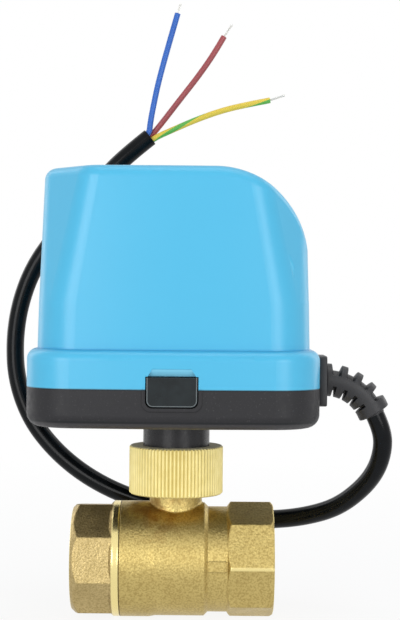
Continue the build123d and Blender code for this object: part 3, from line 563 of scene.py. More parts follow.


# ABS, satin from a polished mould that was lightly blasted: a soft, even sheen, with painted shade at the
# crown's foot and along the rim over the tray, and painted light on the thumb ramps
COVER_ABS = Finish(
    "cover_satin_abs", "4DBAE2", "48B6E0", 0.33, 0.01, mottle_mm=40, mottle=0.3, grain_mm=0.8,
    relief_mm=0.0015,
    layers=(
        # painted shade at the crown's foot
        (Near(Counted.UP, (0.0, 0.0, 65.85), 0.12, 0.62, 0.7), "3BA0CE"),
        # painted light on the thumb ramps
        (THUMB_RAMP_PAINTED_LIGHT, "8ADAF8"),
        # painted shade along the rim over the tray
        (Near(Counted.UP, (0.0, 0.0, 54.4), 0.12, 0.32, 0.6), "14303E"),
    ),
)
# glass-filled nylon from a spark-eroded mould: matt, with pale fibre flecks, a painted highlight along the
# rounded bottom edge, painted shade in that edge's turn and under the cover, and a smoother spigot, moulded
# in a turned bore
BASE_NYLON = Finish(
    "base_matt_nylon", "1B1B1E", "242327", 0.5, 0.08, mottle_mm=1.6, grain_mm=0.5, relief_mm=0.02,
    specular=0.35, edge_mm=0.4, smooth=Near(Counted.UP, (0.0, 0.0, 30.0), 12.3, 12.6), smoother=0.2,
    layers=(
        (Patches(0.5, 0.6, 0.74, 0.22), "5E5C5E"),
        # painted highlight along the rounded bottom edge
        (Near(Counted.UP, (0.0, 0.0, 43.4), 0.8, 1.0, 0.25), "5E5C5E"),
        # painted shade in that edge's turn
        (Near(Counted.UP, (0.0, 0.0, 44.75), 0.12, 0.42, 0.8), "070D12"),
        # painted shade under the cover
        (Near(Counted.UP, (0.0, 0.0, 54.4), 0.2, 0.35), "070D12"),
    ),
)
# polished ABS: smooth, so that it shows the room in it, and a painted highlight along its outline
LATCH_ABS = Finish(
    "latch_polished_abs", "10181B", "1A2427", 0.2, 0.05, mottle_mm=3.0, mottle=0.6, grain_mm=1.2,
    relief_mm=0.004, specular=0.35, layers=((LATCH_EDGE_HIGHLIGHT, "868E90"),),
)
# soft PVC moulded on to the lead: satin, a little dusty
GLAND_PVC = Finish(
    "gland_soft_pvc", "1E1E21", "2A2A2D", 0.48, 0.06, mottle_mm=2.5, grain_mm=0.5, relief_mm=0.02
)
# extruded PVC sheath: smooth along its length, with a narrow, weak highlight
SHEATH_PVC = Finish(
    "sheath_pvc", "080A0C", "12161A", 0.2, 0.05, mottle_mm=5.0, grain_mm=1.5, relief_mm=0.004, specular=0.14
)
# extruded PVC insulation, the next three: clean and softly shiny
BLUE_PVC = Finish(
    "core_blue_pvc", "2265C0", "1D59B2", 0.36, 0.03, mottle_mm=12, grain_mm=2.0, relief_mm=0.001
)
BROWN_PVC = Finish(
    "core_brown_pvc", "A54A4D", "953F44", 0.36, 0.03, mottle_mm=12, grain_mm=2.0, relief_mm=0.001
)
STRIPED_PVC = Finish(
    "core_striped_pvc", "E8CD4A", "E0C340", 0.36, 0.03, mottle_mm=12, grain_mm=2.0, relief_mm=0.001,
    layers=((Stripe(0.25, 0.19, 36.0), "5FB24B"),), reading=Reading.ALONG_LEAD,
)
# strands dipped in tin, which has dulled: plain grey
TINNED_COPPER = Finish(
    "tinned_copper", "444341", "383735", 0.5, 0.08, metallic=1.0, mottle_mm=1.0, grain_mm=0.3
)
# brass forged hot and shot-blasted: a dull, pitted skin, drawn coarse enough to show
FORGED_BRASS = forged_brass("forged_sanded_brass", "CBB674", "99824A")
# the end piece is of another melt: the same skin, a little redder
END_BRASS = forged_brass("forged_end_brass", "C0AB78", "93804F")
# brass knurled and left as it came from the lathe: pale and even, with painted shade in the grooves, and
# painted light on the top bevel, which the casing shades
KNURLED_BRASS = Finish(
    "knurled_bright_brass", "EFE3A8", "E5D794", 0.68, 0.04, metallic=1.0, mottle_mm=3.0, mottle=0.4,
    grain_mm=0.5,
    layers=(
        # painted shade in the grooves
        (Near(Counted.ROUND_STEM, ORIGIN, 14.2, 14.5, 0.6), "C6BA80"),
        # painted light on the top bevel, which the casing shades
        (Near(Counted.UP, (0.0, 0.0, 37.0), 1.7, 1.8, 0.8), "F2EDD2"),
    ),
)
# brass turned on a lathe: bright, with fine rings
TURNED_BRASS = TurnedMetal(
    "turned_brass", "E6CE86", "CDAF62", 0.3, 0.05, metallic=1.0, mottle_mm=3.0, mottle=0.4,
    relief_mm=0.012, ring_mm=0.4,
)
# pressed and machined PTFE: waxy white, without a highlight
PTFE = Finish("seat_ptfe", "ECEBE6", "DFDDD6", 0.55, mottle_mm=3, grain_mm=0.5, relief_mm=0.006)
# brass ground, polished and chromed: a mirror
CHROME = Finish(
    "ball_chrome", "DADBDE", "CFD0D4", 0.08, 0.03, metallic=1.0, mottle_mm=3, grain_mm=1.0, relief_mm=0.001
)
# moulded nitrile rubber: dull black
SEAL_RUBBER = Finish("seal_nitrile_rubber", "141414", "202020", 0.6, mottle_mm=2, grain_mm=0.3)
# hardened steel wire, oiled: grey, with a soft shine
SPRING_STEEL = Finish(
    "oiled_spring_steel", "8C8B88", "6F6E6C", 0.34, 0.08, metallic=1.0, mottle_mm=2, grain_mm=0.3
)
# steel stamped or headed, and zinc-plated: pale, a little cloudy
ZINC_STEEL = Finish(
    "zinc_plated_steel", "C3C4BE", "A7A89C", 0.36, 0.1, metallic=1.0, mottle_mm=6, mottle=0.6, grain_mm=0.5,
    relief_mm=0.006,
)
# bare steel turned on a lathe: grey, with fine rings
SHAFT_STEEL = TurnedMetal(
    "turned_steel", "B4B4B6", "98989A", 0.3, 0.06, metallic=1.0, mottle_mm=3, ring_mm=0.3
)
# sheet steel deep-drawn and plated: smooth and silvery
DRAWN_STEEL = Finish(
    "drawn_plated_steel", "BDBEC0", "A3A4A6", 0.3, 0.08, metallic=1.0, grain_mm=0.8, relief_mm=0.006
)
# moulded acetal: creamy white, with a soft shine
GEAR_ACETAL = Finish("gear_acetal", "E9E6DC", "DBD7C8", 0.42, mottle_mm=4, grain_mm=0.5, relief_mm=0.006)
# moulded phenolic resin: black and satin
SWITCH_PHENOLIC = Finish("switch_phenolic", "1D1D20", "2A2A2E", 0.42, 0.06, mottle_mm=2, grain_mm=0.4)
# moulded nylon: a small red button
BUTTON_NYLON = Finish("button_nylon", "B5301F", "9A2618", 0.4, mottle_mm=1, grain_mm=0.3, relief_mm=0.005)
# glass-fibre board under green lacquer: glossy, faintly mottled
BOARD_MASK = Finish(
    "board_solder_mask", "1E6B3A", "17542D", 0.34, 0.06, mottle_mm=3, mottle=0.6, coat=0.3
)
# moulded nylon, the next two: plain colours with a soft shine
RELAY_NYLON = Finish(
    "relay_blue_nylon", "1F4E9E", "1A4288", 0.35, mottle_mm=5, grain_mm=0.4, relief_mm=0.005
)
TERMINAL_NYLON = Finish(
    "terminal_green_nylon", "2F8A4A", "27753E", 0.42, mottle_mm=4, grain_mm=0.4, relief_mm=0.008
)

NODE_FINISHES = {
    FORGED_BRASS: ("valve_body",),
    END_BRASS: ("end_connector",),
    KNURLED_BRASS: ("union_nut",),
    TURNED_BRASS: ("stem",),
    PTFE: ("seat_left", "seat_right", "stem_washer"),
    CHROME: ("ball",),
    SEAL_RUBBER: ("stem_o_rings",),
    SPRING_STEEL: ("nut_retaining_ring",),
    BASE_NYLON: ("base_housing",),
    COVER_ABS: ("cover",),
    LATCH_ABS: ("latch_front", "latch_rear"),
    SHAFT_STEEL: ("drive_shaft", "idler_axle", "motor_pinion"),
    GEAR_ACETAL: ("limit_cam", "output_gear", "idler_gear"),
    SWITCH_PHENOLIC: ("switch_open", "switch_closed"),
    BUTTON_NYLON: ("button_open", "button_closed"),
    ZINC_STEEL: ("gear_plate_lower", "gear_plate_upper", "frame_pillars", "frame_screws", "motor_screws"),
    DRAWN_STEEL: ("motor_gearhead", "motor_can"),
    BOARD_MASK: ("control_board",),
    RELAY_NYLON: ("relay",),
    TERMINAL_NYLON: ("terminal_block",),
    GLAND_PVC: ("strain_relief",),
    SHEATH_PVC: ("cable",),
    BLUE_PVC: ("core_blue",),
    BROWN_PVC: ("core_brown",),
    STRIPED_PVC: ("core_yellow_green",),
    TINNED_COPPER: ("bare_end_blue", "bare_end_brown", "bare_end_yellow_green"),
}


def grid_piece(
    name: str, grid: np.ndarray, finish: Finish, along: np.ndarray | None = None, closed: bool = True
) -> bpy.types.Object:
    """Make a piece from a grid of points that wraps round: quads between rows, and a face at each end.

    Args:
        name: The piece's name.
        grid: Points, shape (rows, columns, 3). Columns turn round the direction in which the rows go.
        finish: What the piece is made of.
        along: Distance of each row along the piece, for the UV map. Rows are numbered when it is None.
        closed: Whether the first and last row are closed by a face.

    Returns:
        The object, at the origin.
    """
    rows, columns = grid.shape[:2]
    index = np.arange(rows * columns).reshape(rows, columns)
    beside = np.roll(index, -1, axis=1)
    quads = np.stack([index[:-1], beside[:-1], beside[1:], index[1:]], axis=-1).reshape(-1, 4)
    faces = quads.tolist()
    if closed:
        faces += [index[0, ::-1].tolist(), index[-1].tolist()]
    mesh = bpy.data.meshes.new(name)
    mesh.from_pydata(grid.reshape(-1, 3).tolist(), [], faces)
    reach = np.arange(rows, dtype=float) if along is None else along
    row = np.repeat(np.arange(rows - 1), columns)
    column = np.tile(np.arange(columns), rows - 1)
    u = np.stack([reach[row], reach[row], reach[row + 1], reach[row + 1]], axis=-1)
    v = np.stack([column, column + 1, column + 1, column], axis=-1) / columns
    layout = np.zeros((len(mesh.loops), 2))
    layout[: u.size] = np.stack([u.ravel(), v.ravel()], axis=-1)
    mesh.uv_layers.new(name="surface").data.foreach_set("uv", layout.ravel())
    mesh.shade_smooth()
    mesh.set_sharp_from_angle(angle=SHARP_ANGLE)
    mesh.materials.append(finish.build())
    piece = bpy.data.objects.new(name, mesh)
    bpy.context.scene.collection.objects.link(piece)
    return piece


def join_pieces(pieces: list[bpy.types.Object], name: str) -> bpy.types.Object:
    """Join several pieces into one.

    Args:
        pieces: The pieces. They are used up.
        name: The name of the one that is left.

    Returns:
        The joined piece.
    """
    with bpy.context.temp_override(
        active_object=pieces[0], object=pieces[0], selected_objects=pieces, selected_editable_objects=pieces
    ):
        bpy.ops.object.join()
    pieces[0].name = name
    pieces[0].data.name = name
    return pieces[0]


def centreline(route: np.ndarray, steps: int = 14) -> np.ndarray:
    """Read the smooth line that a cord follows from the quadratic spline of its route.

    Args:
        route: The route's points, shape (n, 3).
        steps: Points on each stretch of the spline.

    Returns:
        Points on the line.
    """
    curve = bpy.data.curves.new("route", "CURVE")
    curve.dimensions = "3D"
    curve.resolution_u = steps
    spline = curve.splines.new("NURBS")
    spline.points.add(len(route) - 1)
    spline.points.foreach_set("co", np.column_stack([route, np.ones(len(route))]).ravel())
    spline.order_u = 3
    spline.use_endpoint_u = True
    holder = bpy.data.objects.new("route", curve)
    mesh = bpy.data.meshes.new_from_object(holder)
    points = np.empty(len(mesh.vertices) * 3)
    mesh.vertices.foreach_get("co", points)
    bpy.data.objects.remove(holder)
    bpy.data.curves.remove(curve)
    bpy.data.meshes.remove(mesh)
    return points.reshape(-1, 3)


def distance_along(grid: np.ndarray) -> np.ndarray:
    """Add up the steps from each row's middle to the next."""
    steps = np.linalg.norm(np.diff(grid.mean(axis=1), axis=0), axis=1)
    return np.concatenate([[0.0], np.cumsum(steps)])


def smooth_step(share: np.ndarray) -> np.ndarray:
    """Ease a share from 0 to 1 by 3 s squared less 2 s cubed, held at both ends."""
    held = np.clip(share, 0, 1)
    return held * held * (3 - 2 * held)


def sweep(path: np.ndarray, radii: np.ndarray, columns: int) -> np.ndarray:
    """Carry a circle along a path: each centre, plus the radius times cosine and sine of two directions.

    Both directions lie across the tangent. Every path here runs nearly in an X-Z plane, so the first is -Y
    made square to the tangent.

    Args:
        path: Centres, shape (rows, 3).
        radii: Radius at each row, or at each row and column.
        columns: Points round the circle.

    Returns:
        The grid, shape (rows, columns, 3).
    """
    tangent = np.gradient(path, axis=0)
    tangent /= np.linalg.norm(tangent, axis=1, keepdims=True)
    front = np.array([0.0, -1.0, 0.0]) - tangent * (-tangent[:, 1:2])
    front /= np.linalg.norm(front, axis=1, keepdims=True)
    over = np.cross(tangent, front)
    turn = np.linspace(0, 2 * np.pi, columns, endpoint=False)
    spread = radii.reshape(len(path), -1)[:, :, None]
    ring = np.cos(turn)[None, :, None] * front[:, None, :] + np.sin(turn)[None, :, None] * over[:, None, :]
    return path[:, None, :] + spread * ring


def lead_grid(path: np.ndarray, radius: float, mouth: np.ndarray, columns: int) -> np.ndarray:
    """Sweep a round lead and turn its far end in, as a cut end that shows the wall and what is inside it.

    Args:
        path: Points on the centreline.
        radius: The lead's radius.
        mouth: Rows after the end, each a distance past it along the lead and a radius.
        columns: Points round the lead.

    Returns:
        The grid of points.
    """
    heading = path[-1] - path[-2]
    heading /= np.linalg.norm(heading)
    body = sweep(path, np.full(len(path), radius), columns)
    rim = (body[-1] - path[-1]) / radius
    ends = [path[-1] + heading * past + rim * mouth_radius for past, mouth_radius in mouth]
    return np.concatenate([body, np.array(ends)])


@dataclass(frozen=True)
class Core:
    """One insulated core of the lead.

    Attributes:
        name: Its colour, for names.
        finish: Its insulation.
        length_mm: Length of the insulated part.
        bare_mm: Length of the bare part.
        lean: Degrees by which the bare part leans to the right of the core.
        route_mm: The core's route.
    """

    name: str
    finish: Finish
    length_mm: float
    bare_mm: float
    lean: float
    route_mm: tuple[Point, ...]


BLUE_CORE = Core(
    "blue", BLUE_PVC, length_mm=44.6, bare_mm=3.6, lean=0.0,
    route_mm=(
        (-12.66, 40.2, 135.29), (-10.71, 40.2, 136.85), (-10.4, 40.5, 140.6), (-9.5, 40.8, 145.8),
        (-7.9, 41.0, 153.9), (-5.7, 41.0, 162.4), (-3.7, 41.0, 169.7), (-1.4, 41.0, 177.9),
    ),
)
BROWN_CORE = Core(
    "brown", BROWN_PVC, length_mm=44.5, bare_mm=5.0, lean=4.0,
    route_mm=(
        (-12.2, 42.22, 134.72), (-9.93, 42.22, 136.53), (-6.3, 42.0, 141.0), (-0.1, 41.4, 149.1),
        (6.2, 41.0, 157.2), (11.4, 41.0, 164.9), (14.4, 41.0, 170.2),
    ),
)
STRIPED_CORE = Core(
    "yellow_green", STRIPED_PVC, length_mm=44.5, bare_mm=5.4, lean=-8.0,
    route_mm=(
        (-11.33, 40.58, 133.64), (-9.07, 40.58, 135.45), (-3.1, 40.7, 138.2), (5.2, 41.0, 141.9),
        (13.3, 41.0, 144.9), (21.5, 41.0, 147.0), (30.2, 41.0, 148.7),
    ),
)


@dataclass
class PowerLead:
    """The three-core lead: sheath, three cores and their bare, tinned strands."""

    radius: float = 3.0 * MM
    sheath_length: float = 269.8 * MM
    # from the gland to the far end
    route_mm: tuple[Point, ...] = (
        (61.89, 0.0, 45.59), (63.90, 0.0, 41.45), (64.9, 1.3, 35.6), (63.5, 4.6, 28.1),
        (59.4, 9.8, 21.1), (51.9, 16.0, 14.1), (42.2, 22.3, 10.2), (31.5, 27.0, 8.3),
        (18.7, 29.6, 7.9), (4.7, 31.2, 9.7), (-9.1, 32.7, 12.5), (-21.2, 34.8, 16.3),
        (-32.6, 37.2, 22.2), (-42.6, 39.8, 30.2), (-50.6, 41.9, 40.2), (-55.4, 43.1, 53.1),
        (-56.2, 43.6, 66.7), (-54.3, 43.5, 79.5), (-49.7, 43.4, 91.7), (-42.1, 43.0, 102.4),
        (-33.9, 42.3, 112.3), (-25.2, 41.4, 122.6), (-18.3, 41.0, 129.5), (-10.5, 41.0, 135.8),
    )
    core_radius: float = 1.0 * MM
    # rows past a cut end, each a distance and a radius, which round its edge and turn in
    sheath_mouth_mm: tuple[Pair, ...] = ((0.1, 2.85), (0.1, 2.5), (-2.0, 2.4), (-2.0, 0.2))
    core_mouth_mm: tuple[Pair, ...] = ((0.03, 0.93), (0.03, 0.5), (-0.4, 0.45), (-0.4, 0.05))
    sheath_columns: int = 40
    core_columns: int = 24
    # strands wound round the middle one, and the length in which they wind once round
    outer_strands: int = 6
    strand_lay: float = 5.0 * MM
    strand_radius: float = 0.12 * MM
    # they start inside the insulation, and stop short of the end, inside the drop of tin
    strand_start: float = -0.3 * MM
    strand_stop: float = 0.4 * MM
    strand_rows: int = 24
    strand_columns: int = 8
    # the drop of tin, whose rows include its poles
    tip_radius: float = 0.45 * MM
    tip_rows: int = 13
    tip_columns: int = 12
    cores: tuple[Core, ...] = (BLUE_CORE, BROWN_CORE, STRIPED_CORE)

    def build(self) -> None:
        self.build_sheath()
        for core in self.cores:
            self.build_core(core)

    def build_sheath(self) -> None:
        """Build the sheath."""
        route = MM * np.array(self.route_mm)
        path = centreline(route)
        grid = lead_grid(path, self.radius, MM * np.array(self.sheath_mouth_mm), self.sheath_columns)
        sheath = grid_piece("sheath", grid, SHEATH_PVC, distance_along(grid))
        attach(sheath, ROOT)
        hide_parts("cable")
        LOG.info("sheath built")

    def build_core(self, core: Core) -> None:
        """Build one core and the strands at its end.

        Args:
            core: The core.
        """
        route = MM * np.array(core.route_mm)
        path = centreline(route)
        grid = lead_grid(path, self.core_radius, MM * np.array(self.core_mouth_mm), self.core_columns)
        insulation = grid_piece(f"insulation_{core.name}", grid, core.finish, distance_along(grid))
        along = route[-1] - route[-2]
        lean = math.radians(core.lean)
        leant = along * math.cos(lean) + np.array([along[2], 0.0, -along[0]]) * math.sin(lean)
        strands = self.build_strands(core.name, route[-1], leant, core.bare_mm * MM)
        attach(insulation, ROOT)
        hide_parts(f"core_{core.name}")
        LOG.info("core %s built", core.name)

    def build_strands(
        self, name: str, start: np.ndarray, heading: np.ndarray, length: float
    ) -> bpy.types.Object:
        """Twist strands round a middle one, as helices about the core's line, and end them in a drop of tin.

        Args:
            name: The core's colour in its name.
            start: Where the insulation ends.
            heading: The direction of the bare part.
            length: How much is bare.

        Returns:
            The strands as one piece.
        """
        heading = heading / np.linalg.norm(heading)
        front = np.array([0.0, -1.0, 0.0])
        front -= heading * (front @ heading)
        front /= np.linalg.norm(front)
        over = np.cross(heading, front)
        place = np.linspace(self.strand_start, length - self.strand_stop, self.strand_rows)
        line = start + place[:, None] * heading
        radii = np.full(self.strand_rows, self.strand_radius)
        pieces = [grid_piece("strand_0", sweep(line, radii, self.strand_columns), TINNED_COPPER)]
        for number in range(self.outer_strands):
            angle = 2 * np.pi * (place / self.strand_lay + number / self.outer_strands)
            across = np.cos(angle)[:, None] * front + np.sin(angle)[:, None] * over
            ring = sweep(line + 2 * self.strand_radius * across, radii, self.strand_columns)
            pieces.append(grid_piece(f"strand_{number + 1}", ring, TINNED_COPPER))
        # a ball without its poles: the radius is the root of 1 less the height squared
        height = np.linspace(-1, 1, self.tip_rows)[1:-1]
        centres = start + (length - self.tip_radius + self.tip_radius * height)[:, None] * heading
        drop = sweep(centres, self.tip_radius * np.sqrt(1 - height**2), self.tip_columns)
        pieces.append(grid_piece("tip", drop, TINNED_COPPER))
        joined = join_pieces(pieces, f"strands_{name}")
        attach(joined, ROOT)
        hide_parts(f"bare_end_{name}")
        return joined


@dataclass
class Gland:
    """The moulded strain relief: a square flange in the casing's slot and a ribbed tail that bends down."""

    # where the tail leaves the flange
    face_x: float = 46.4 * MM
    centre_z: float = 56.2 * MM
    bend_radius: float = 16.5 * MM
    bend: float = math.radians(64)
    # the straight length after the bend
    tail: float = 1.5 * MM
    rib_radius: float = 5.1 * MM
    sleeve_radius: float = 3.1 * MM
    # the slots, counted from 0, and their widths on the outside and on the inside of the bend
    first_slot: float = 2.9 * MM
    last_slot: int = 3
    pitch: float = 4.2 * MM
    outer_slot: float = 2.2 * MM
    inner_slot: float = 0.9 * MM
    slot_softness: float = 0.6 * MM
    # the two spines, down the front and down the rear, where there are no slots
    spine_half: float = 2.0 * MM
    spine_softness: float = 0.5 * MM
    end_rounding: float = 0.5 * MM
    # share by which the outside of the bend is drawn back along the tail
    outer_shortening: float = 0.04
    # the thin lip that closes on the sheath, and how far past the tail its rows count as, for the UV map
    lip_radius: float = 3.15 * MM
    lip_mouth: float = 2.8 * MM
    lip_length: float = 0.15 * MM
    lip_along_mm: Point = (1.0, 1.5, 2.0)
    rows: int = 221
    columns: int = 96
    flange_z: float = 56.0 * MM
    # the flange's profile: places on X, each with half the square's side
    flange_mm: tuple[Pair, ...] = (
        (38.2, 5.7), (38.35, 5.95), (38.5, 6.0), (39.7, 6.0), (39.9, 5.9), (40.0, 5.7), (40.0, 4.0),
        (43.5, 4.0), (43.5, 7.5), (43.55, 7.7), (43.7, 7.8), (46.0, 7.8), (46.25, 7.72), (46.37, 7.6),
        (46.4, 7.3),
    )
    # the power of the flange's outline: 2 is a circle, and more is squarer
    squareness: float = 14.0

    def build(self) -> None:
        """Build the tail and the flange and hang them on the casing."""
        for piece in (self.build_tail(), self.build_flange()):
            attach(piece, ROOT)
            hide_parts("strain_relief")
        LOG.info("gland built")

    def tail_path(self, reach: np.ndarray) -> np.ndarray:
        """Lay the tail's middle on an arc that turns down from X, and then straight on.

        Args:
            reach: Distances along the tail.

        Returns:
            A point for each.
        """
        arc = self.bend_radius * self.bend
        angle = np.minimum(reach, arc) / self.bend_radius
        past = np.maximum(reach - arc, 0)
        out = self.face_x + self.bend_radius * np.sin(angle) + past * math.cos(self.bend)
        up = self.centre_z - self.bend_radius * (1 - np.cos(angle)) - past * math.sin(self.bend)
        return np.stack([out, np.zeros_like(reach), up], axis=-1)

    def tail_radii(self, reach: np.ndarray, over: np.ndarray) -> np.ndarray:
        """Drop the radius from ribs to sleeve in the slots, but not over the front and rear spines.

        The depth at a point is the product of two soft steps: how far into a slot it is along the tail, and
        how far past the spine's edge it is round the tail. A quarter circle rounds both ends.

        Args:
            reach: Distances along the tail.
            over: For each place round the tail, +1 on the outside of the bend to -1 on its inside.

        Returns:
            The radius at each distance and place.
        """
        slot = np.round((reach - self.first_slot) / self.pitch).clip(0, self.last_slot)
        offset = np.abs(reach - (slot * self.pitch + self.first_slot))[:, None]
        half_slot = np.where(over > 0, self.outer_slot, self.inner_slot)[None, :] / 2
        in_slot = smooth_step((half_slot - offset) / self.slot_softness + 0.5)
        beside = np.abs(over) * self.rib_radius - self.spine_half
        off_spine = smooth_step(beside / self.spine_softness + 0.5)[None, :]
        depth = (self.rib_radius - self.sleeve_radius) * in_slot * off_spine
        ends = np.minimum(reach, reach[-1] - reach)
        inwards = 1 - np.minimum(ends / self.end_rounding, 1)
        round_over = self.end_rounding * (1 - np.sqrt(1 - inwards**2))
        return self.rib_radius - depth - round_over[:, None]

    def build_tail(self) -> bpy.types.Object:
        """Sweep the tail, draw its outside back so that the end face leans, and add the lip.

        Returns:
            The tail.
        """
        reach = np.linspace(0, self.bend_radius * self.bend + self.tail, self.rows)
        over = -np.sin(np.linspace(0, 2 * np.pi, self.columns, endpoint=False))
        path = self.tail_path(reach)
        radii = self.tail_radii(reach, over)
        grid = sweep(path, radii, self.columns)
        heading = np.gradient(path, axis=0)
        heading /= np.linalg.norm(heading, axis=1, keepdims=True)
        back = self.outer_shortening * reach[:, None] * (over[None, :] + 1) / 2
        leaning = grid - back[:, :, None] * heading[:, None, :]
        rim = (grid[-1] - path[-1]) / radii[-1][:, None]
        drawn = path[-1] - back[-1][:, None] * heading[-1]
        front = path[-1] + self.lip_length * heading[-1]
        lip = [drawn + rim * self.lip_radius, front + rim * self.lip_radius, front + rim * self.lip_mouth]
        along = np.concatenate([reach, reach[-1] + MM * np.array(self.lip_along_mm)])
        return grid_piece("gland_tail", np.concatenate([leaning, np.array(lip)]), GLAND_PVC, along)

    def build_flange(self) -> bpy.types.Object:
        """Stack rounded squares along X: inner plate, neck in the wall, and the flange with softened edges.

        A square is a superellipse: cosine and sine of the turn, each to a small power and with its sign.

        Returns:
            The flange.
        """
        turn = np.linspace(0, 2 * np.pi, self.columns, endpoint=False)
        circle = np.stack([np.cos(turn), np.sin(turn)])
        square = np.sign(circle) * np.abs(circle) ** (2 / self.squareness)
        place = MM * np.array(self.flange_mm)
        grid = np.empty((len(place), self.columns, 3))
        grid[:, :, 0] = place[:, 0:1]
        grid[:, :, 1] = place[:, 1:2] * square[0]
        grid[:, :, 2] = self.flange_z + place[:, 1:2] * square[1]
        return grid_piece("gland_flange", grid, GLAND_PVC, place[:, 0])


@dataclass
class PortThreads:
    """The pipe threads that show inside both ports.

    The thread is a helix: the radius falls from root to crest with the place along the axis less the turn.
    """

    root_radius: float = 12.05 * MM
    height: float = 0.62 * MM
    pitch: float = 1.814 * MM
    # part of the flank that is cut off level at the root, and as much at the crest
    flat: float = 0.12
    # the length in which the thread runs out at each end
    fade: float = 2.0 * MM
    length: float = 12.4 * MM
    rows_per_turn: int = 16
    columns: int = 72
    # where each thread starts
    right_x: float = 16.5 * MM
    left_x: float = -30.5 * MM

    def build(self) -> None:
        """Build the thread in each port."""
        self.build_thread("port_thread_right", self.right_x)
        self.build_thread("port_thread_left", self.left_x)
        LOG.info("port threads built")

    def build_thread(self, name: str, low: float) -> None:
        """Build one thread as a ring of surface facing the axis.

        Args:
            name: The piece's name.
            low: Lowest X.
        """
        high = low + self.length
        place = np.linspace(low, high, self.rows_per_turn * int(self.length / self.pitch) + 1)
        turn = np.linspace(0, 2 * np.pi, self.columns, endpoint=False)
        phase = np.mod(place[:, None] / self.pitch - turn[None, :] / (2 * np.pi), 1)
        flank = 1 - np.abs(2 * phase - 1)
        crest = np.clip((flank - self.flat) / (1 - 2 * self.flat), 0, 1)
        ends = np.minimum(place - low, high - place)[:, None]
        radius = self.root_radius - self.height * crest * smooth_step(ends / self.fade)
        level = np.broadcast_to(place[:, None], radius.shape)
        grid = np.stack([level, radius * np.cos(turn), -radius * np.sin(turn)], axis=-1)
        thread = grid_piece(name, grid, TURNED_BRASS, place, closed=False)
        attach(thread, ROOT)


@dataclass(frozen=True)
class Lamp:
    """A soft rectangular lamp.

    Attributes:
        name: The lamp's name.
        place: Its position.
        size: Its width and height.
        power: Watts.
    """

    name: str
    place: Point
    size: Pair
    power: float

    def build(self, target: Point) -> None:
        """Build the lamp and turn it to face a point.

        Args:
            target: The point.
        """
        lamp = bpy.data.lights.new(self.name, "AREA")
        lamp.shape = "RECTANGLE"
        lamp.size, lamp.size_y = self.size
        lamp.energy = self.power
        holder = bpy.data.objects.new(self.name, lamp)
        holder.location = self.place
        aim = np.array(target) - np.array(self.place)
        flat = math.hypot(aim[0], aim[1])
        holder.rotation_euler = (math.atan2(flat, -aim[2]), 0, math.atan2(-aim[0], aim[1]))
        bpy.context.scene.collection.objects.link(holder)


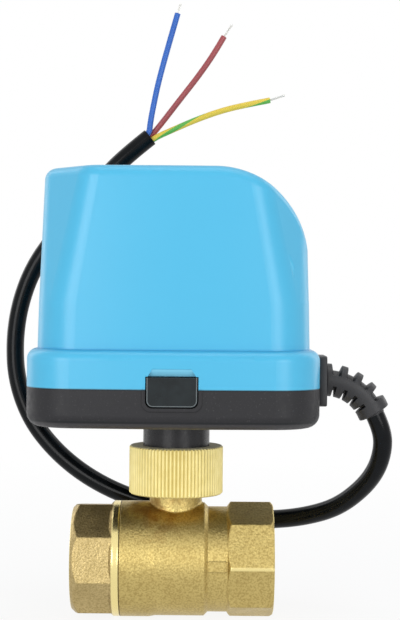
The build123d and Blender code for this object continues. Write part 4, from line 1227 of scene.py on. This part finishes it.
@dataclass
class Studio:
    """The camera, the lamps, the pale surroundings and the floor."""

    # the camera: how far in front of the stem's plane it stands, how far to the right and how high, and its
    # roll in radians
    distance: float = 469 * MM
    eye_x: float = 7.0 * MM
    eye_z: float = 82.0 * MM
    roll: float = 0.0087
    # the sensor's size along the picture's longer side, the height
    sensor_mm: float = 36.0
    # the photograph's scale in the stem's plane, its row at the camera's height, and how many rows it has
    pixels_per_metre: float = 3200.0
    horizon_row: float = 296.0
    frame_height: int = 620
    soft_light: float = 0.5
    floor_z: float = -18.2 * MM
    floor_half: float = 20.0
    # the floor is paper up to the one distance, and as white as the surroundings from the other on
    paper_radius: float = 60 * MM
    white_radius: float = 450 * MM
    # the share of white in the paper
    least_glow: float = 0.88
    # what the lamps face
    target: Point = (0.0, 0.0, 0.06)
    lamps: tuple[Lamp, ...] = (
        Lamp("left_window", (-0.48, -0.88, 0.17), (0.5, 0.46), 3.4),
        Lamp("right_window", (0.5, -0.86, 0.17), (0.4, 0.46), 2.4),
        Lamp("rear_left_strip", (-0.75, 0.6, 0.4), (0.3, 1.0), 1.5),
        Lamp("rear_right_strip", (0.75, 0.6, 0.4), (0.3, 1.0), 1.5),
        Lamp("top", (0.1, -0.1, 0.95), (0.6, 0.6), 1.8),
    )

    def build(self) -> None:
        """Set the stage."""
        self.build_camera()
        self.build_surroundings()
        self.build_floor()
        for lamp in self.lamps:
            lamp.build(self.target)
        bpy.context.scene.view_settings.view_transform = "Standard"
        LOG.info("studio built")

    def build_camera(self) -> None:
        """Put the camera in front of the valve, a little rolled, with the photograph's horizon."""
        half_height = self.frame_height / 2 / self.pixels_per_metre
        camera = bpy.data.cameras.new("camera")
        camera.sensor_width = self.sensor_mm
        camera.lens = self.sensor_mm / 2 * self.distance / half_height
        camera.shift_y = (self.horizon_row - self.frame_height / 2) / self.frame_height
        camera.clip_start = 0.02
        holder = bpy.data.objects.new("camera", camera)
        holder.location = (self.eye_x, -self.distance, self.eye_z)
        holder.rotation_euler = (math.pi / 2, -self.roll, 0)
        bpy.context.scene.collection.objects.link(holder)
        bpy.context.scene.camera = holder

    def build_surroundings(self) -> None:
        """Make the world white where it is seen or mirrored, and soft grey light elsewhere."""
        world = bpy.data.worlds.new("surroundings")
        world.use_nodes = True
        tree = world.node_tree
        tree.nodes.clear()
        soft = add_node(tree, "Background", {"Color": linear("F4F6FA"), "Strength": self.soft_light})
        white = add_node(tree, "Background", {"Color": linear("FFFFFF"), "Strength": 1.0})
        mix = add_node(tree, "MixShader", {0: self.shown_rays(tree), 1: soft, 2: white})
        add_node(tree, "OutputWorld", {"Surface": mix})
        bpy.context.scene.world = world

    def shown_rays(self, tree: bpy.types.NodeTree) -> Feed:
        """Mark the rays from the camera, from glossy surfaces and through clear ones.

        Args:
            tree: The nodes of the world or of a material.

        Returns:
            1 for those rays, and 0 for the others.
        """
        rays = add_node(tree, "LightPath").outputs
        glossy, clear = rays["Is Glossy Ray"], rays["Is Transmission Ray"]
        return sums(tree, "Math", rays["Is Camera Ray"], ("MAXIMUM", glossy), ("MAXIMUM", clear))

    def floor_paper(self) -> bpy.types.Material:
        """Make the floor's material: lit paper in the middle, which turns into the white of the surroundings.

        Returns:
            The material.
        """
        material = bpy.data.materials.new("floor_paper")
        material.use_nodes = True
        tree = material.node_tree
        tree.nodes.clear()
        paper = add_node(tree, "BsdfDiffuse", {"Color": linear("F6F6F6")})
        glow = add_node(tree, "Emission", {"Color": linear("FFFFFF"), "Strength": 1.0})
        place = add_node(tree, "TexCoord").outputs["Object"]
        away = add_node(tree, "VectorMath", {0: place}, operation="LENGTH")
        reach = {"From Min": self.paper_radius, "From Max": self.white_radius, "To Min": self.least_glow}
        white = add_node(tree, "MapRange", {"Value": away, **reach})
        share = sums(tree, "Math", self.shown_rays(tree), ("MULTIPLY", white))
        mix = add_node(tree, "MixShader", {0: share, 1: paper, 2: glow})
        add_node(tree, "OutputMaterial", {"Surface": mix})
        return material

    def build_floor(self) -> None:
        """Lay a wide floor under the valve, which keeps its shadow."""
        half = self.floor_half
        mesh = bpy.data.meshes.new("floor")
        corners = [(-half, -half), (half, -half), (half, half), (-half, half)]
        mesh.from_pydata([(x, y, self.floor_z) for x, y in corners], [], [(0, 1, 2, 3)])
        mesh.materials.append(self.floor_paper())
        floor = bpy.data.objects.new("floor", mesh)
        bpy.context.scene.collection.objects.link(floor)


def dress_nodes(nodes: dict[str, bpy.types.Object]) -> None:
    """Give every CAD node its finish.

    Args:
        nodes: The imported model's objects by name.
    """
    for finish, names in NODE_FINISHES.items():
        for name in names:
            nodes[name].data.materials.clear()
            nodes[name].data.materials.append(finish.build())
    LOG.info("%d nodes dressed", len(nodes))


def main() -> None:
    """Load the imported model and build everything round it."""
    logging.basicConfig(level=logging.INFO)
    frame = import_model()
    Studio().build()
    PowerLead().build()
    Gland().build()
    PortThreads().build()
    dress_nodes(frame["nodes"])


if __name__ == "__main__":
    main()
